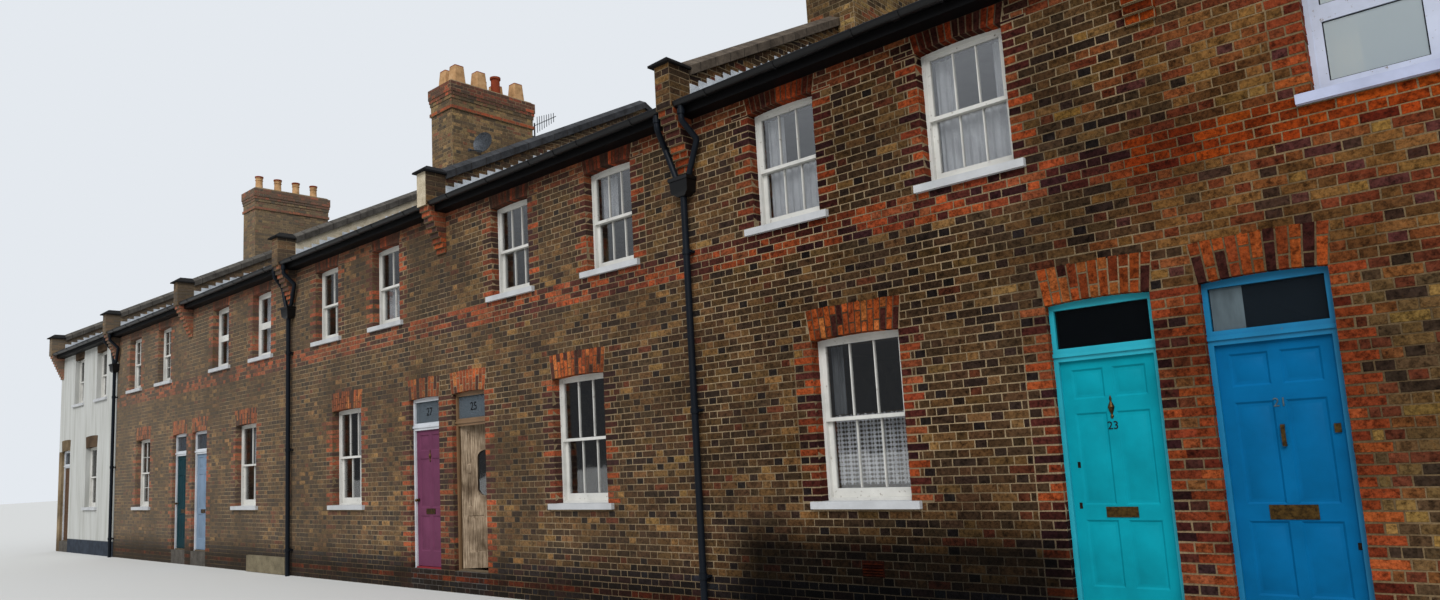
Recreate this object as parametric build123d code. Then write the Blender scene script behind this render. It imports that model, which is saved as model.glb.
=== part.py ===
"""A row of seven two-storey brick terraced houses, built in millimetres.

X runs along the row, the street front faces -Y and Z is up. The origin is the
middle of the row's footprint at pavement level. Houses are mirrored in pairs:
two front doors stand side by side at every second party wall, and a chimney
stack stands on each party wall between.
"""
import math
import os

from build123d import *

# Plan of the row
HOUSES = 7
HOUSE_PITCH = 5000
DEPTH = 8400
WALL = 225
PARTY = 225
PARTY_SHIFT = {6: -110}
CREAM_HOUSE = 0

# Heights above the pavement
COURSE = 75
FLOOR_TOP = 270
FLOOR_THICK = 150
STEP_TOP = 290
ARCH_SPRING = 2775
UPPER_FLOOR_TOP = 3070
UPPER_FLOOR_THICK = 200
UPPER_SILL = UPPER_FLOOR_TOP + 965
UPPER_SPRING = UPPER_SILL + 1240
EAVES = UPPER_SPRING + 225
CEILING_UNDERSIDE = EAVES - 150
CEILING_THICK = 100

# Windows: distances are from the party line beside the front doors
UPPER_WINDOWS = (1650, 3660)
UPPER_W = 840
LOWER_WINDOW = 2965
LOWER_W = 990
LOWER_SILL = 1215
WIDE_W = 1450
WIDE_SILL = UPPER_SILL - 60
WIDE_HOUSE = 6
CAMBER = 20
SILL_THICK = 70
SILL_PROUD = 50
SILL_LAP = 100
SILL_DEPTH = 165
REVEAL = 115
FRAME_DEPTH = 90
FRAME_FACE = 75
RAIL = 45
GLASS_THICK = 6

# Brick arches
ARCH_HEIGHT = 300
ARCH_SPLAY = 40

# Front doors
DOOR_W = 815
DOOR_PIER = 340
DOOR_REVEAL = 65
STOP_FACE = 40
STOP_DEPTH = 30
JAMB_FACE = 25
LEAF_THICK = 44
LEAF_TOP = 2320
TRANSOM_TOP = 2415
HEAD_FACE = 45
HINGE_GAP = 6
LOCK_GAP = 8
TOP_GAP = 6
FLOOR_GAP = 8
THRESHOLD = 20
KNUCKLE_R = 5
KNUCKLE_LENGTH = 100
AJAR_HOUSE = 4
AJAR_ANGLE = 30
PANEL_STILE = 105
PANEL_SINK = 10
PANEL_FIELD = 45

# Steps at the doors
STEP_PROUD = 40
STEP_LAP = 45

# Roof
ROOF_PITCH = 27
ROOF_AT_FACE = EAVES + 150
ROOF_THICK = 130
SLATE_EDGE = 30
EAVES_LAP = 70
RIDGE_WING = 150
RIDGE_THICK = 20

# Party wall parapets
PARAPET_AT_FACE = ROOF_AT_FACE + 385
COPING_RIDGE = 115
COPING_EDGE = 55
COPING_LAP = 45
CAP_PROUD = 60
CORBEL_PROUD = 330
CORBEL_BOTTOM = EAVES - 640
CORBEL_COURSES = 10

# Chimney stacks
STACK_W = 790
STACK_LENGTH = 2100
STACK_TOP = ROOF_AT_FACE + 4270
CAP_BOTTOM = STACK_TOP - 650
CAP_STEPS = 3
CAP_STEP_OUT = 20
POT_R = 120
POT_HEIGHT = 420
POTS = 4

# Rainwater goods
FASCIA_THICK = 25
FASCIA_BOTTOM = EAVES - 30
FASCIA_TOP = EAVES + 100
GUTTER_R = 60
GUTTER_WALL = 5
GUTTER_DROP = 20
PIPE_R = 38
PIPE_OFF = 75
HOPPER_W = 390
HOPPER_TOP = CORBEL_BOTTOM - 85
HOPPER_BOTTOM = HOPPER_TOP - 190
HOPPER_DEPTH = 170
NECK_X = 165

# Derived places
TAN = math.tan(math.radians(ROOF_PITCH))
FRONT = -DEPTH / 2
LINES = HOUSES + 1
ROOF_DROP = ROOF_THICK / math.cos(math.radians(ROOF_PITCH))
LEAF_BACK = DOOR_REVEAL + STOP_DEPTH + LEAF_THICK


def grid_x(line):
    """The even grid on which windows and roofs are set out."""
    return (line - HOUSES / 2) * HOUSE_PITCH


def line_x(line):
    """The middle of a party wall, which can stand off the even grid."""
    return grid_x(line) + PARTY_SHIFT.get(line, 0)


def door_line(house):
    """The party line beside a house's front door."""
    return house if house % 2 == 0 else house + 1


def away(house):
    """The direction in X from a house's door to its windows."""
    return 1 if house % 2 == 0 else -1


def window_x(house, distance):
    return grid_x(door_line(house)) + away(house) * distance


def door_x(house):
    return line_x(door_line(house)) + away(house) * (DOOR_PIER + DOOR_W) / 2


def inner_span(house):
    """The two faces of the party walls that a house lies between."""
    return line_x(house) + PARTY / 2, line_x(house + 1) - PARTY / 2


def block(x0, x1, y0, y1, z0, z1):
    """A plain box between two corners."""
    size = Box(x1 - x0, y1 - y0, z1 - z0)
    return size.translate(Vector((x0 + x1) / 2, (y0 + y1) / 2, (z0 + z1) / 2))


def prism_y(points, y0, y1):
    """An outline in X and Z pushed from y0 to y1."""
    face = Plane.XZ * make_face(Polyline(*points, close=True))
    return extrude(face, amount=y1 - y0, dir=(0, 1, 0)).translate(Vector(0, y0, 0))


def prism_x(points, x0, x1):
    """An outline in Y and Z pushed from x0 to x1."""
    face = Plane.YZ * make_face(Polyline(*points, close=True))
    return extrude(face, amount=x1 - x0, dir=(1, 0, 0)).translate(Vector(x0, 0, 0))


def cambered(x, width, z0, z1, y0, y1, rise=CAMBER):
    """An opening's shape: upright sides and a slightly arched top."""
    half = width / 2
    outline = Polyline((x - half, z1), (x - half, z0), (x + half, z0), (x + half, z1))
    crown = ThreePointArc((x + half, z1), (x, z1 + rise), (x - half, z1))
    face = Plane.XZ * make_face([outline, crown])
    return extrude(face, amount=y1 - y0, dir=(0, 1, 0)).translate(Vector(0, y0, 0))


def arch(x, width, z, height, y0, y1):
    """A brick arch with splayed ends, cambered below and above."""
    half = width / 2
    top = half + ARCH_SPLAY
    under = ThreePointArc((x - half, z), (x, z + CAMBER), (x + half, z))
    right = Line((x + half, z), (x + top, z + height))
    over = ThreePointArc((x + top, z + height), (x, z + height + CAMBER), (x - top, z + height))
    left = Line((x - top, z + height), (x - half, z))
    face = Plane.XZ * make_face([under, right, over, left])
    return extrude(face, amount=y1 - y0, dir=(0, 1, 0)).translate(Vector(0, y0, 0))


def arch_seat(x, width, z, height, y0, y1):
    """The gap that a wall leaves for an arch, open downwards."""
    body = arch(x, width, z, height, y0, y1)
    return body + block(x - width / 2, x + width / 2, y0, y1, z, z + 2 * CAMBER)


def both_sides(shape):
    """A front piece and its mirror image at the rear."""
    return [shape, mirror(shape, about=Plane.XZ)]


def windows_of(house):
    """Each front window as x, width, sill height and spring height."""
    found = []
    for index, distance in enumerate(UPPER_WINDOWS):
        wide = house == WIDE_HOUSE and index == 0
        width = WIDE_W if wide else UPPER_W
        sill = WIDE_SILL if wide else UPPER_SILL
        found.append((window_x(house, distance), width, sill, UPPER_SPRING))
    found.append((window_x(house, LOWER_WINDOW), LOWER_W, LOWER_SILL, ARCH_SPRING))
    return found


def upper_wall(first, last):
    """The front wall over the doorways, from house first to house last."""
    left = line_x(first) - (PARTY / 2 if first == 0 else 0)
    right = line_x(last + 1) + (PARTY / 2 if last == HOUSES - 1 else 0)
    wall = block(left, right, FRONT, FRONT + WALL, ARCH_SPRING, EAVES)
    for house in range(first, last + 1):
        for x, width, sill, spring in windows_of(house):
            if spring == UPPER_SPRING:
                top = EAVES + COURSE
                outer = [(x - width / 2, sill), (x + width / 2, sill), (x + width / 2, spring),
                         (x + width / 2 + ARCH_SPLAY, EAVES), (x + width / 2 + ARCH_SPLAY, top),
                         (x - width / 2 - ARCH_SPLAY, top), (x - width / 2 - ARCH_SPLAY, EAVES),
                         (x - width / 2, spring)]
                wall -= prism_y(outer, FRONT, FRONT + WALL)
                wall -= sill_seat(x, width, sill)
            else:
                wall -= arch_seat(x, width, spring, ARCH_HEIGHT, FRONT, FRONT + WALL)
        wall -= arch_seat(door_x(house), DOOR_W, ARCH_SPRING, ARCH_HEIGHT, FRONT, FRONT + WALL)
    return wall


def sill_seat(x, width, sill):
    """The slot in the wall in which a window sill is bedded."""
    return block(x - width / 2 - SILL_LAP, x + width / 2 + SILL_LAP, FRONT - SILL_PROUD,
                 FRONT - SILL_PROUD + SILL_DEPTH, sill - SILL_THICK, sill)


def lower_wall(left, right, houses):
    """A ground storey wall between two doorways, notched for its windows."""
    wall = block(left, right, FRONT, FRONT + WALL, 0, ARCH_SPRING)
    for house in houses:
        x, width, sill, spring = windows_of(house)[-1]
        wall -= block(x - width / 2, x + width / 2, FRONT, FRONT + WALL, sill, spring)
        wall -= sill_seat(x, width, sill)
    return wall


def door_edge(house):
    """The side of a doorway that faces the windows."""
    return door_x(house) + away(house) * DOOR_W / 2


def lower_front_walls():
    walls = []
    for line in range(1, LINES, 2):
        houses = [h for h in (line - 1, line) if 0 <= h < HOUSES and h != CREAM_HOUSE]
        if line == HOUSES:
            right = line_x(line) + PARTY / 2
        else:
            right = door_edge(line)
        left = line_x(line) if CREAM_HOUSE == line - 1 else door_edge(line - 1)
        walls.append(lower_wall(left, right, houses))
    return walls


def cream_lower_wall():
    return lower_wall(door_edge(CREAM_HOUSE), line_x(CREAM_HOUSE + 1), [CREAM_HOUSE])


def door_piers():
    """Brick piers between paired doors, and the pier at the row's left end."""
    piers = []
    for line in range(0, LINES, 2):
        left = line_x(line) - (PARTY / 2 if line == 0 else DOOR_PIER / 2)
        right = line_x(line) + DOOR_PIER / 2
        piers.append(block(left, right, FRONT, FRONT + WALL, 0, ARCH_SPRING))
    return piers


def rear_wall(first, last):
    """The rear wall of a pair of houses, with windows and back doors."""
    left = line_x(first) - (PARTY / 2 if first == 0 else 0)
    right = line_x(last + 1) + (PARTY / 2 if last == HOUSES - 1 else 0)
    front_like = upper_wall(first, last)
    lower = block(left, right, FRONT, FRONT + WALL, 0, ARCH_SPRING)
    for house in range(first, last + 1):
        x, width, sill, spring = windows_of(house)[-1]
        lower -= block(x - width / 2, x + width / 2, FRONT, FRONT + WALL, sill, spring)
        lower -= sill_seat(x, width, sill)
        half = DOOR_W / 2
        lower -= block(door_x(house) - half, door_x(house) + half, FRONT, FRONT + WALL,
                       STEP_TOP, spring)
    return mirror(front_like + lower, about=Plane.XZ)


def party_walls():
    """Cross walls behind the front and rear walls, topped to the roof pitch."""
    low = PARAPET_AT_FACE + WALL * TAN
    top = PARAPET_AT_FACE + DEPTH / 2 * TAN
    inner = FRONT + WALL
    outline = [(inner, 0), (-inner, 0), (-inner, low), (0, top), (inner, low)]
    return [prism_x(outline, line_x(n) - PARTY / 2, line_x(n) + PARTY / 2) for n in range(LINES)]


def parapet_end(line):
    """The parapet's front end on its corbel of stepped brick courses."""
    step = CORBEL_PROUD / CORBEL_COURSES
    outline = [(FRONT, CORBEL_BOTTOM)]
    for course in range(CORBEL_COURSES):
        out = FRONT - (course + 1) * step
        outline.append((out, CORBEL_BOTTOM + course * COURSE))
        outline.append((out, CORBEL_BOTTOM + (course + 1) * COURSE))
    outline.append((FRONT - CORBEL_PROUD, PARAPET_AT_FACE))
    outline.append((FRONT, PARAPET_AT_FACE))
    outline.append((FRONT + WALL, PARAPET_AT_FACE + WALL * TAN))
    outline.append((FRONT + WALL, EAVES))
    outline.append((FRONT, EAVES))
    return prism_x(outline, line_x(line) - PARTY / 2, line_x(line) + PARTY / 2)


def coping(line):
    """A saddle coping: level over the corbelled end, then up the slope."""
    half = PARTY / 2 + COPING_LAP
    section = [(-half, 0), (half, 0), (half, COPING_EDGE), (0, COPING_RIDGE), (-half, COPING_EDGE)]
    nose = FRONT - CORBEL_PROUD - CAP_PROUD
    x = line_x(line)
    level = prism_y([(x + a, PARAPET_AT_FACE + b) for a, b in section], nose, FRONT)
    foot = Plane(origin=(x, FRONT, PARAPET_AT_FACE), x_dir=(1, 0, 0), z_dir=(0, 1, 0))
    lower = foot * make_face(Polyline(*[(a, -b) for a, b in section], close=True))
    crest = lower.translate(Vector(0, -FRONT, -FRONT * TAN))
    half_coping = level + Solid.make_loft([lower.wire(), crest.wire()], ruled=True)
    return half_coping + mirror(half_coping, about=Plane.XZ)


def has_stack(line):
    return line % 2 == 1


def stack_x(line):
    """A stack stands over its party wall, and at the row's end stays inside it."""
    if line < HOUSES:
        return line_x(line)
    return line_x(line) + PARTY / 2 + COPING_LAP - STACK_W / 2 - CAP_STEPS * CAP_STEP_OUT


def coping_seat(line):
    """What a stack takes out of the coping and the wall below it."""
    return block(stack_x(line) - STACK_W / 2, stack_x(line) + STACK_W / 2,
                 -STACK_LENGTH / 2, STACK_LENGTH / 2, stack_foot(), STACK_TOP)


def stack_foot():
    """A stack's foot, hidden where it comes down on the roof."""
    return ROOF_AT_FACE + (DEPTH - STACK_LENGTH) / 2 * TAN


def chimney_stack(line):
    """A stack of brickwork on the party wall, with a corbelled cap."""
    x = stack_x(line)
    stack = block(x - STACK_W / 2, x + STACK_W / 2, -STACK_LENGTH / 2, STACK_LENGTH / 2,
                  stack_foot(), STACK_TOP)
    for step in range(CAP_STEPS):
        out = (step + 1) * CAP_STEP_OUT
        stack += block(x - STACK_W / 2 - out, x + STACK_W / 2 + out,
                       -STACK_LENGTH / 2 - out, STACK_LENGTH / 2 + out,
                       CAP_BOTTOM + step * COURSE, STACK_TOP)
    return stack


def chimney_pots(line):
    """A line of open clay pots along the top of a stack."""
    pots = []
    for n in range(POTS):
        y = (n - (POTS - 1) / 2) * STACK_LENGTH / POTS
        outer = Cylinder(POT_R, POT_HEIGHT)
        pot = outer - Cylinder(POT_R - 20, POT_HEIGHT)
        pots.append(pot.translate(Vector(stack_x(line), y, STACK_TOP + POT_HEIGHT / 2)))
    return pots


def roof_top(y):
    """The height of the slates above a place on the front half."""
    return ROOF_AT_FACE + (y - FRONT) * TAN


def roof_front(house):
    """One house's front roof slope, from its gutter to the ridge."""
    eave = FRONT - EAVES_LAP
    outline = [(eave, roof_top(eave)), (0, roof_top(0)), (0, roof_top(0) - ROOF_DROP),
               (FRONT, roof_top(FRONT) - ROOF_DROP), (FRONT, roof_top(FRONT) - SLATE_EDGE),
               (eave, roof_top(eave) - SLATE_EDGE)]
    slope = prism_x(outline, *inner_span(house))
    for line in (house, house + 1):
        if has_stack(line):
            slope -= coping_seat(line)
    return slope


def ridge_tiles(house):
    """The angled clay tiles that cover the top joint of the roof."""
    low = roof_top(0) - RIDGE_WING * TAN
    outline = [(-RIDGE_WING, low), (0, roof_top(0)), (RIDGE_WING, low),
               (RIDGE_WING, low + RIDGE_THICK), (0, roof_top(0) + RIDGE_THICK),
               (-RIDGE_WING, low + RIDGE_THICK)]
    ridge = prism_x(outline, *inner_span(house))
    for line in (house, house + 1):
        if has_stack(line):
            ridge -= coping_seat(line)
    return ridge


def floor_slab(house, top, thick):
    left, right = inner_span(house)
    return block(left, right, FRONT + WALL, -FRONT - WALL, top - thick, top)


def window_sill(x, width, sill):
    return sill_seat(x, width, sill)


def window_arch(x, width, spring):
    """A brick arch, cut level where the eaves meet the upper ones."""
    band = arch(x, width, spring, ARCH_HEIGHT, FRONT, FRONT + WALL)
    if spring < UPPER_SPRING:
        return band
    half = width / 2
    top = half + ARCH_SPLAY
    under = ThreePointArc((x - half, spring), (x, spring + CAMBER), (x + half, spring))
    sides = Polyline((x + half, spring), (x + top, EAVES), (x - top, EAVES), (x - half, spring))
    face = Plane.XZ * make_face([under, sides])
    return extrude(face, amount=WALL, dir=(0, 1, 0)).translate(Vector(0, FRONT, 0))


def window_frame(x, width, sill, spring):
    """A sash window's box frame with the two sashes' rails as one ring."""
    y0 = FRONT + REVEAL
    y1 = y0 + FRAME_DEPTH
    ring = cambered(x, width, sill, spring, y0, y1)
    middle = (sill + spring) / 2
    for low, high in ((sill + FRAME_FACE, middle - RAIL / 2), (middle + RAIL / 2, spring - FRAME_FACE)):
        ring -= block(x - width / 2 + FRAME_FACE, x + width / 2 - FRAME_FACE, y0, y1, low, high)
    return ring


def window_glass(x, width, sill, spring):
    """The upper and lower panes of a window."""
    y = FRONT + REVEAL + FRAME_DEPTH / 2
    middle = (sill + spring) / 2
    panes = []
    for low, high in ((sill + FRAME_FACE, middle - RAIL / 2), (middle + RAIL / 2, spring - FRAME_FACE)):
        panes.append(block(x - width / 2 + FRAME_FACE, x + width / 2 - FRAME_FACE,
                           y - GLASS_THICK / 2, y + GLASS_THICK / 2, low, high))
    return panes


def door_frame(house):
    """Jambs, head and transom: a front stop and a rebate for the leaf behind."""
    x = door_x(house)
    y0 = FRONT + DOOR_REVEAL
    y1 = FRONT + LEAF_BACK
    bottom = STEP_TOP
    frame = cambered(x, DOOR_W, bottom, ARCH_SPRING, y0, y1)
    half = DOOR_W / 2
    stop_y = y0 + STOP_DEPTH
    frame -= block(x - half + STOP_FACE, x + half - STOP_FACE, y0, stop_y, bottom, LEAF_TOP - 10)
    frame -= block(x - half + JAMB_FACE, x + half - JAMB_FACE, stop_y, y1, bottom, LEAF_TOP + TOP_GAP)
    frame -= block(x - half + STOP_FACE, x + half - STOP_FACE, y0, y1, TRANSOM_TOP,
                   ARCH_SPRING - HEAD_FACE)
    return frame


def threshold(house):
    """The weathered timber sill between the jambs, under the leaf."""
    x = door_x(house)
    half = DOOR_W / 2 - STOP_FACE
    return block(x - half, x + half, FRONT + DOOR_REVEAL, FRONT + LEAF_BACK,
                 STEP_TOP, STEP_TOP + THRESHOLD)


def fanlight(house):
    x = door_x(house)
    half = DOOR_W / 2 - STOP_FACE
    y = FRONT + DOOR_REVEAL + STOP_DEPTH
    return block(x - half, x + half, y, y + GLASS_THICK, TRANSOM_TOP, ARCH_SPRING - HEAD_FACE)


def door_step(house):
    """The brick step that fills the foot of the doorway."""
    x = door_x(house)
    half = DOOR_W / 2
    return block(x - half, x + half, FRONT, FRONT + WALL, 0, STEP_TOP)


def hinge_x(house):
    """The hinge line stands at the jamb beside the party wall."""
    return door_x(house) - away(house) * (DOOR_W / 2 - JAMB_FACE - HINGE_GAP / 2)


def hinge_y():
    return FRONT + LEAF_BACK + KNUCKLE_R


def opened(shape, house):
    """Turn a door's piece to how the door stands: one is ajar."""
    if house != AJAR_HOUSE:
        return shape
    axis = Axis((hinge_x(house), hinge_y(), 0), (0, 0, 1))
    return shape.rotate(axis, away(house) * AJAR_ANGLE)


def leaf_span(house):
    """The leaf's two sides in X, hinge side first."""
    hinge = door_x(house) - away(house) * (DOOR_W / 2 - JAMB_FACE - HINGE_GAP)
    lock = door_x(house) + away(house) * (DOOR_W / 2 - JAMB_FACE - LOCK_GAP)
    return hinge, lock


def panel_rows(bottom, top):
    """Low and high edges of the three rows of door panels."""
    height = top - bottom
    return ((bottom + 0.115 * height, bottom + 0.385 * height),
            (bottom + 0.475 * height, bottom + 0.79 * height),
            (bottom + 0.845 * height, bottom + 0.94 * height))


def door_leaf(house):
    """A panelled leaf, its panels sunk into both faces."""
    hinge, lock = leaf_span(house)
    x0, x1 = min(hinge, lock), max(hinge, lock)
    y0 = FRONT + DOOR_REVEAL + STOP_DEPTH
    y1 = y0 + LEAF_THICK
    bottom = STEP_TOP + THRESHOLD + FLOOR_GAP
    leaf = block(x0, x1, y0, y1, bottom, LEAF_TOP)
    middle = (x0 + x1) / 2
    for low, high in panel_rows(bottom, LEAF_TOP):
        for a, b in ((x0 + PANEL_STILE, middle - PANEL_STILE / 2),
                     (middle + PANEL_STILE / 2, x1 - PANEL_STILE)):
            leaf -= block(a, b, y0, y0 + PANEL_SINK, low, high)
            leaf -= block(a, b, y1 - PANEL_SINK, y1, low, high)
            field = block(a + PANEL_FIELD / 2, b - PANEL_FIELD / 2, y0 + 4, y1 - 4,
                          low + PANEL_FIELD / 2, high - PANEL_FIELD / 2)
            leaf += field
    return opened(leaf, house)


def door_metal(house):
    """The letter plate, the knob and three hinge knuckles of a door."""
    hinge, lock = leaf_span(house)
    middle = (hinge + lock) / 2
    y0 = FRONT + DOOR_REVEAL + STOP_DEPTH
    y1 = y0 + LEAF_THICK
    pieces = [block(middle - 125, middle + 125, y0 - 6, y0, 1120, 1190)]
    knob = Cylinder(28, 45).rotate(Axis.X, 90)
    pieces.append(knob.translate(Vector(lock - away(house) * 55, y0 - 22.5, 1230)))
    for z in (550, 1300, 2100):
        knuckle = Cylinder(KNUCKLE_R, KNUCKLE_LENGTH)
        knuckle = knuckle.translate(Vector(hinge_x(house), hinge_y(), z))
        near = hinge_x(house)
        far = hinge + away(house) * 30
        flap = block(min(near, far), max(near, far), y1, y1 + 3, z - KNUCKLE_LENGTH / 2,
                     z + KNUCKLE_LENGTH / 2)
        pieces.append(knuckle + flap)
    return [opened(piece, house) for piece in pieces]


def back_door(house):
    """A plain fixed back door that fills its frame."""
    x = door_x(house)
    half = DOOR_W / 2
    door = block(x - half, x + half, FRONT + DOOR_REVEAL, FRONT + LEAF_BACK, STEP_TOP, ARCH_SPRING)
    door += cambered(x, DOOR_W, ARCH_SPRING - COURSE, ARCH_SPRING, FRONT + DOOR_REVEAL,
                     FRONT + LEAF_BACK)
    return mirror(door, about=Plane.XZ)


def fascia(house):
    left, right = inner_span(house)
    return block(left, right, FRONT - FASCIA_THICK, FRONT, FASCIA_BOTTOM, FASCIA_TOP)


def gutter(house):
    """A half-round gutter with stopped ends."""
    left, right = inner_span(house)
    y = FRONT - FASCIA_THICK - GUTTER_R
    outer = Cylinder(GUTTER_R, right - left).rotate(Axis.Y, 90)
    inner = Cylinder(GUTTER_R - GUTTER_WALL, right - left - 2 * GUTTER_WALL).rotate(Axis.Y, 90)
    rim = FASCIA_TOP - GUTTER_DROP
    trough = (outer - inner).translate(Vector((left + right) / 2, y, rim))
    above = block(left, right, y - GUTTER_R, y + GUTTER_R, rim, rim + GUTTER_R)
    return trough - above


def pipe_x(line):
    """A downpipe stands under its corbel, and at the row's end inside it."""
    if line < HOUSES:
        return line_x(line)
    return line_x(line) + PARTY / 2 - HOPPER_W / 2


def hopper(line):
    """A hopper head, wide at the rim and drawn in to the pipe."""
    x = pipe_x(line)
    rim = (HOPPER_TOP + HOPPER_BOTTOM) / 2
    upper = block(x - HOPPER_W / 2, x + HOPPER_W / 2, FRONT - HOPPER_DEPTH, FRONT, rim, HOPPER_TOP)
    top = Plane.XY.offset(rim) * Pos(x, FRONT - HOPPER_DEPTH / 2) * Rectangle(HOPPER_W, HOPPER_DEPTH)
    low = Plane.XY.offset(HOPPER_BOTTOM) * Pos(x, FRONT - PIPE_OFF) * Rectangle(
        3 * PIPE_R, 2.4 * PIPE_R)
    return upper + loft([low, top])


def downpipe(line):
    pipe = Cylinder(PIPE_R, HOPPER_BOTTOM)
    return pipe.translate(Vector(pipe_x(line), FRONT - PIPE_OFF, HOPPER_BOTTOM / 2))


def swan_neck(line, side):
    """The pipe that carries a gutter's water down to the hopper."""
    top = FASCIA_TOP - GUTTER_DROP - GUTTER_R
    pipe = Cylinder(PIPE_R * 0.8, top - HOPPER_TOP)
    return pipe.translate(Vector(line_x(line) + side * NECK_X, FRONT - FASCIA_THICK - GUTTER_R,
                                 (top + HOPPER_TOP) / 2))


def rain_lines():
    return [line for line in range(LINES) if has_stack(line)]


def save(name, shapes):
    """Write one node: a single solid, or a group of like ones."""
    group = Compound(children=[shape for piece in shapes for shape in piece.solids()])
    export_step(group, f"parts/{name}.step")


def build_walls():
    save("lower_front_wall", lower_front_walls())
    save("lower_cream_wall", [cream_lower_wall()])
    save("door_piers", door_piers())
    save("upper_cream_wall", [upper_wall(0, 0)])
    save("rear_cream_wall", [rear_wall(0, 0)])
    for first, name in ((1, "left"), (3, "middle"), (5, "right")):
        save(f"upper_front_wall_{name}", [upper_wall(first, first + 1)])
        save(f"rear_wall_{name}", [rear_wall(first, first + 1)])
    walls = party_walls()
    copings = [coping(line) for line in range(LINES)]
    for line in rain_lines():
        walls[line] -= coping_seat(line)
        copings[line] -= coping_seat(line)
    save("party_walls", walls)
    ends = [end for line in range(LINES) for end in both_sides(parapet_end(line))]
    save("parapet_ends", ends)
    save("parapet_copings", copings)
    save("chimney_stacks", [chimney_stack(line) for line in rain_lines()])
    save("chimney_pots", [pot for line in rain_lines() for pot in chimney_pots(line)])


def build_roof_and_floors():
    houses = range(HOUSES)
    front = [roof_front(house) for house in houses]
    save("roof_front", front)
    save("roof_rear", [mirror(slope, about=Plane.XZ) for slope in front])
    save("ridge_tiles", [ridge_tiles(house) for house in houses])
    save("ground_floors", [floor_slab(house, FLOOR_TOP, FLOOR_THICK) for house in houses])
    save("upper_floors", [floor_slab(house, UPPER_FLOOR_TOP, UPPER_FLOOR_THICK) for house in houses])
    save("ceilings", [floor_slab(house, CEILING_UNDERSIDE + CEILING_THICK, CEILING_THICK)
                      for house in houses])


def build_openings():
    arches, rear_arches, sills, frames, glass = [], [], [], [], []
    for house in range(HOUSES):
        for x, width, sill, spring in windows_of(house):
            band = both_sides(window_arch(x, width, spring))
            arches.append(band[0])
            rear_arches.append(band[1])
            sills += both_sides(window_sill(x, width, sill))
            frames += both_sides(window_frame(x, width, sill, spring))
            for pane in window_glass(x, width, sill, spring):
                glass += both_sides(pane)
    houses = range(HOUSES)
    door_bands = [arch(door_x(h), DOOR_W, ARCH_SPRING, ARCH_HEIGHT, FRONT, FRONT + WALL)
                  for h in houses]
    rear_arches += [mirror(band, about=Plane.XZ) for band in door_bands]
    save("window_arches", arches)
    save("door_arches", door_bands)
    save("rear_arches", rear_arches)
    save("window_sills", sills)
    save("window_frames", frames)
    save("window_glass", glass)
    save("door_frames", [door_frame(house) for house in houses])
    save("door_thresholds", [threshold(house) for house in houses])
    save("fanlights", [fanlight(house) for house in houses])
    save("door_steps", [door_step(house) for house in houses])
    save("back_doors", [back_door(house) for house in houses])


def build_doors():
    for house in range(HOUSES):
        save(f"door_{house + 1}", [door_leaf(house)])
        save(f"door_metal_{house + 1}", door_metal(house))


def build_rainwater():
    houses = range(HOUSES)
    save("fascias", [side for house in houses for side in both_sides(fascia(house))])
    save("gutters", [side for house in houses for side in both_sides(gutter(house))])
    save("hoppers", [side for line in rain_lines() for side in both_sides(hopper(line))])
    pipes = [side for line in rain_lines() for side in both_sides(downpipe(line))]
    for line in rain_lines():
        for side in (-1, 1):
            if line < HOUSES or side < 0:
                pipes += both_sides(swan_neck(line, side))
    save("downpipes", pipes)


os.makedirs("parts", exist_ok=True)
build_walls()
build_roof_and_floors()
build_openings()
build_doors()
build_rainwater()
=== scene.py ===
"""The looks of a row of brick terraced houses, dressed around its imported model.

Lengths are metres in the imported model's own frame: X runs along the row, the
street front faces -Y and Z is up. Openings, doors, stacks and roofs are read
from the frame's solids. Bricks, slates and bars are laid on them, and sashes,
leaves, eaves, copings, pots and pipes are made in place of plainer solids.
"""
import math
import random

import bmesh
import bpy
import numpy as np
from mathutils import Matrix, Vector


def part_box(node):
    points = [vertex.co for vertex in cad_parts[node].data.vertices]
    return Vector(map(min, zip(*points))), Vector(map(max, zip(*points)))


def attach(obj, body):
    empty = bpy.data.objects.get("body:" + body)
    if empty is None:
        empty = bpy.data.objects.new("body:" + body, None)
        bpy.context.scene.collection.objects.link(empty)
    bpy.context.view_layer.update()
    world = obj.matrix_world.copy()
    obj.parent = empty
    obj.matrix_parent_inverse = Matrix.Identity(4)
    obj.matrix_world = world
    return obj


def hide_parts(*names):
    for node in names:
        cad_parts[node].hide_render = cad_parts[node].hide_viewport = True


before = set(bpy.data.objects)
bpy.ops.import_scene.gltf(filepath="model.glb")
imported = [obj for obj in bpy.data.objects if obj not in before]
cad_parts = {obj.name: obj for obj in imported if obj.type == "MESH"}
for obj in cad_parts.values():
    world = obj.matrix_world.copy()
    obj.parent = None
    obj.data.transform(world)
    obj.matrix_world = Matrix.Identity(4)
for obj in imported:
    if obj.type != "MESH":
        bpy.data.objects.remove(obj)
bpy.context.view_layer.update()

UP = Vector((0, 0, 1))
HOUSES = 7
NEW_HOUSE = 6

# Where each run of random draws starts
SEEDS = {"front": 1, "rear": 2, "ends": 3, "parapets": 4, "roof": 5, "stacks": 6, "vents": 7,
         "toothing": 9}

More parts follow.
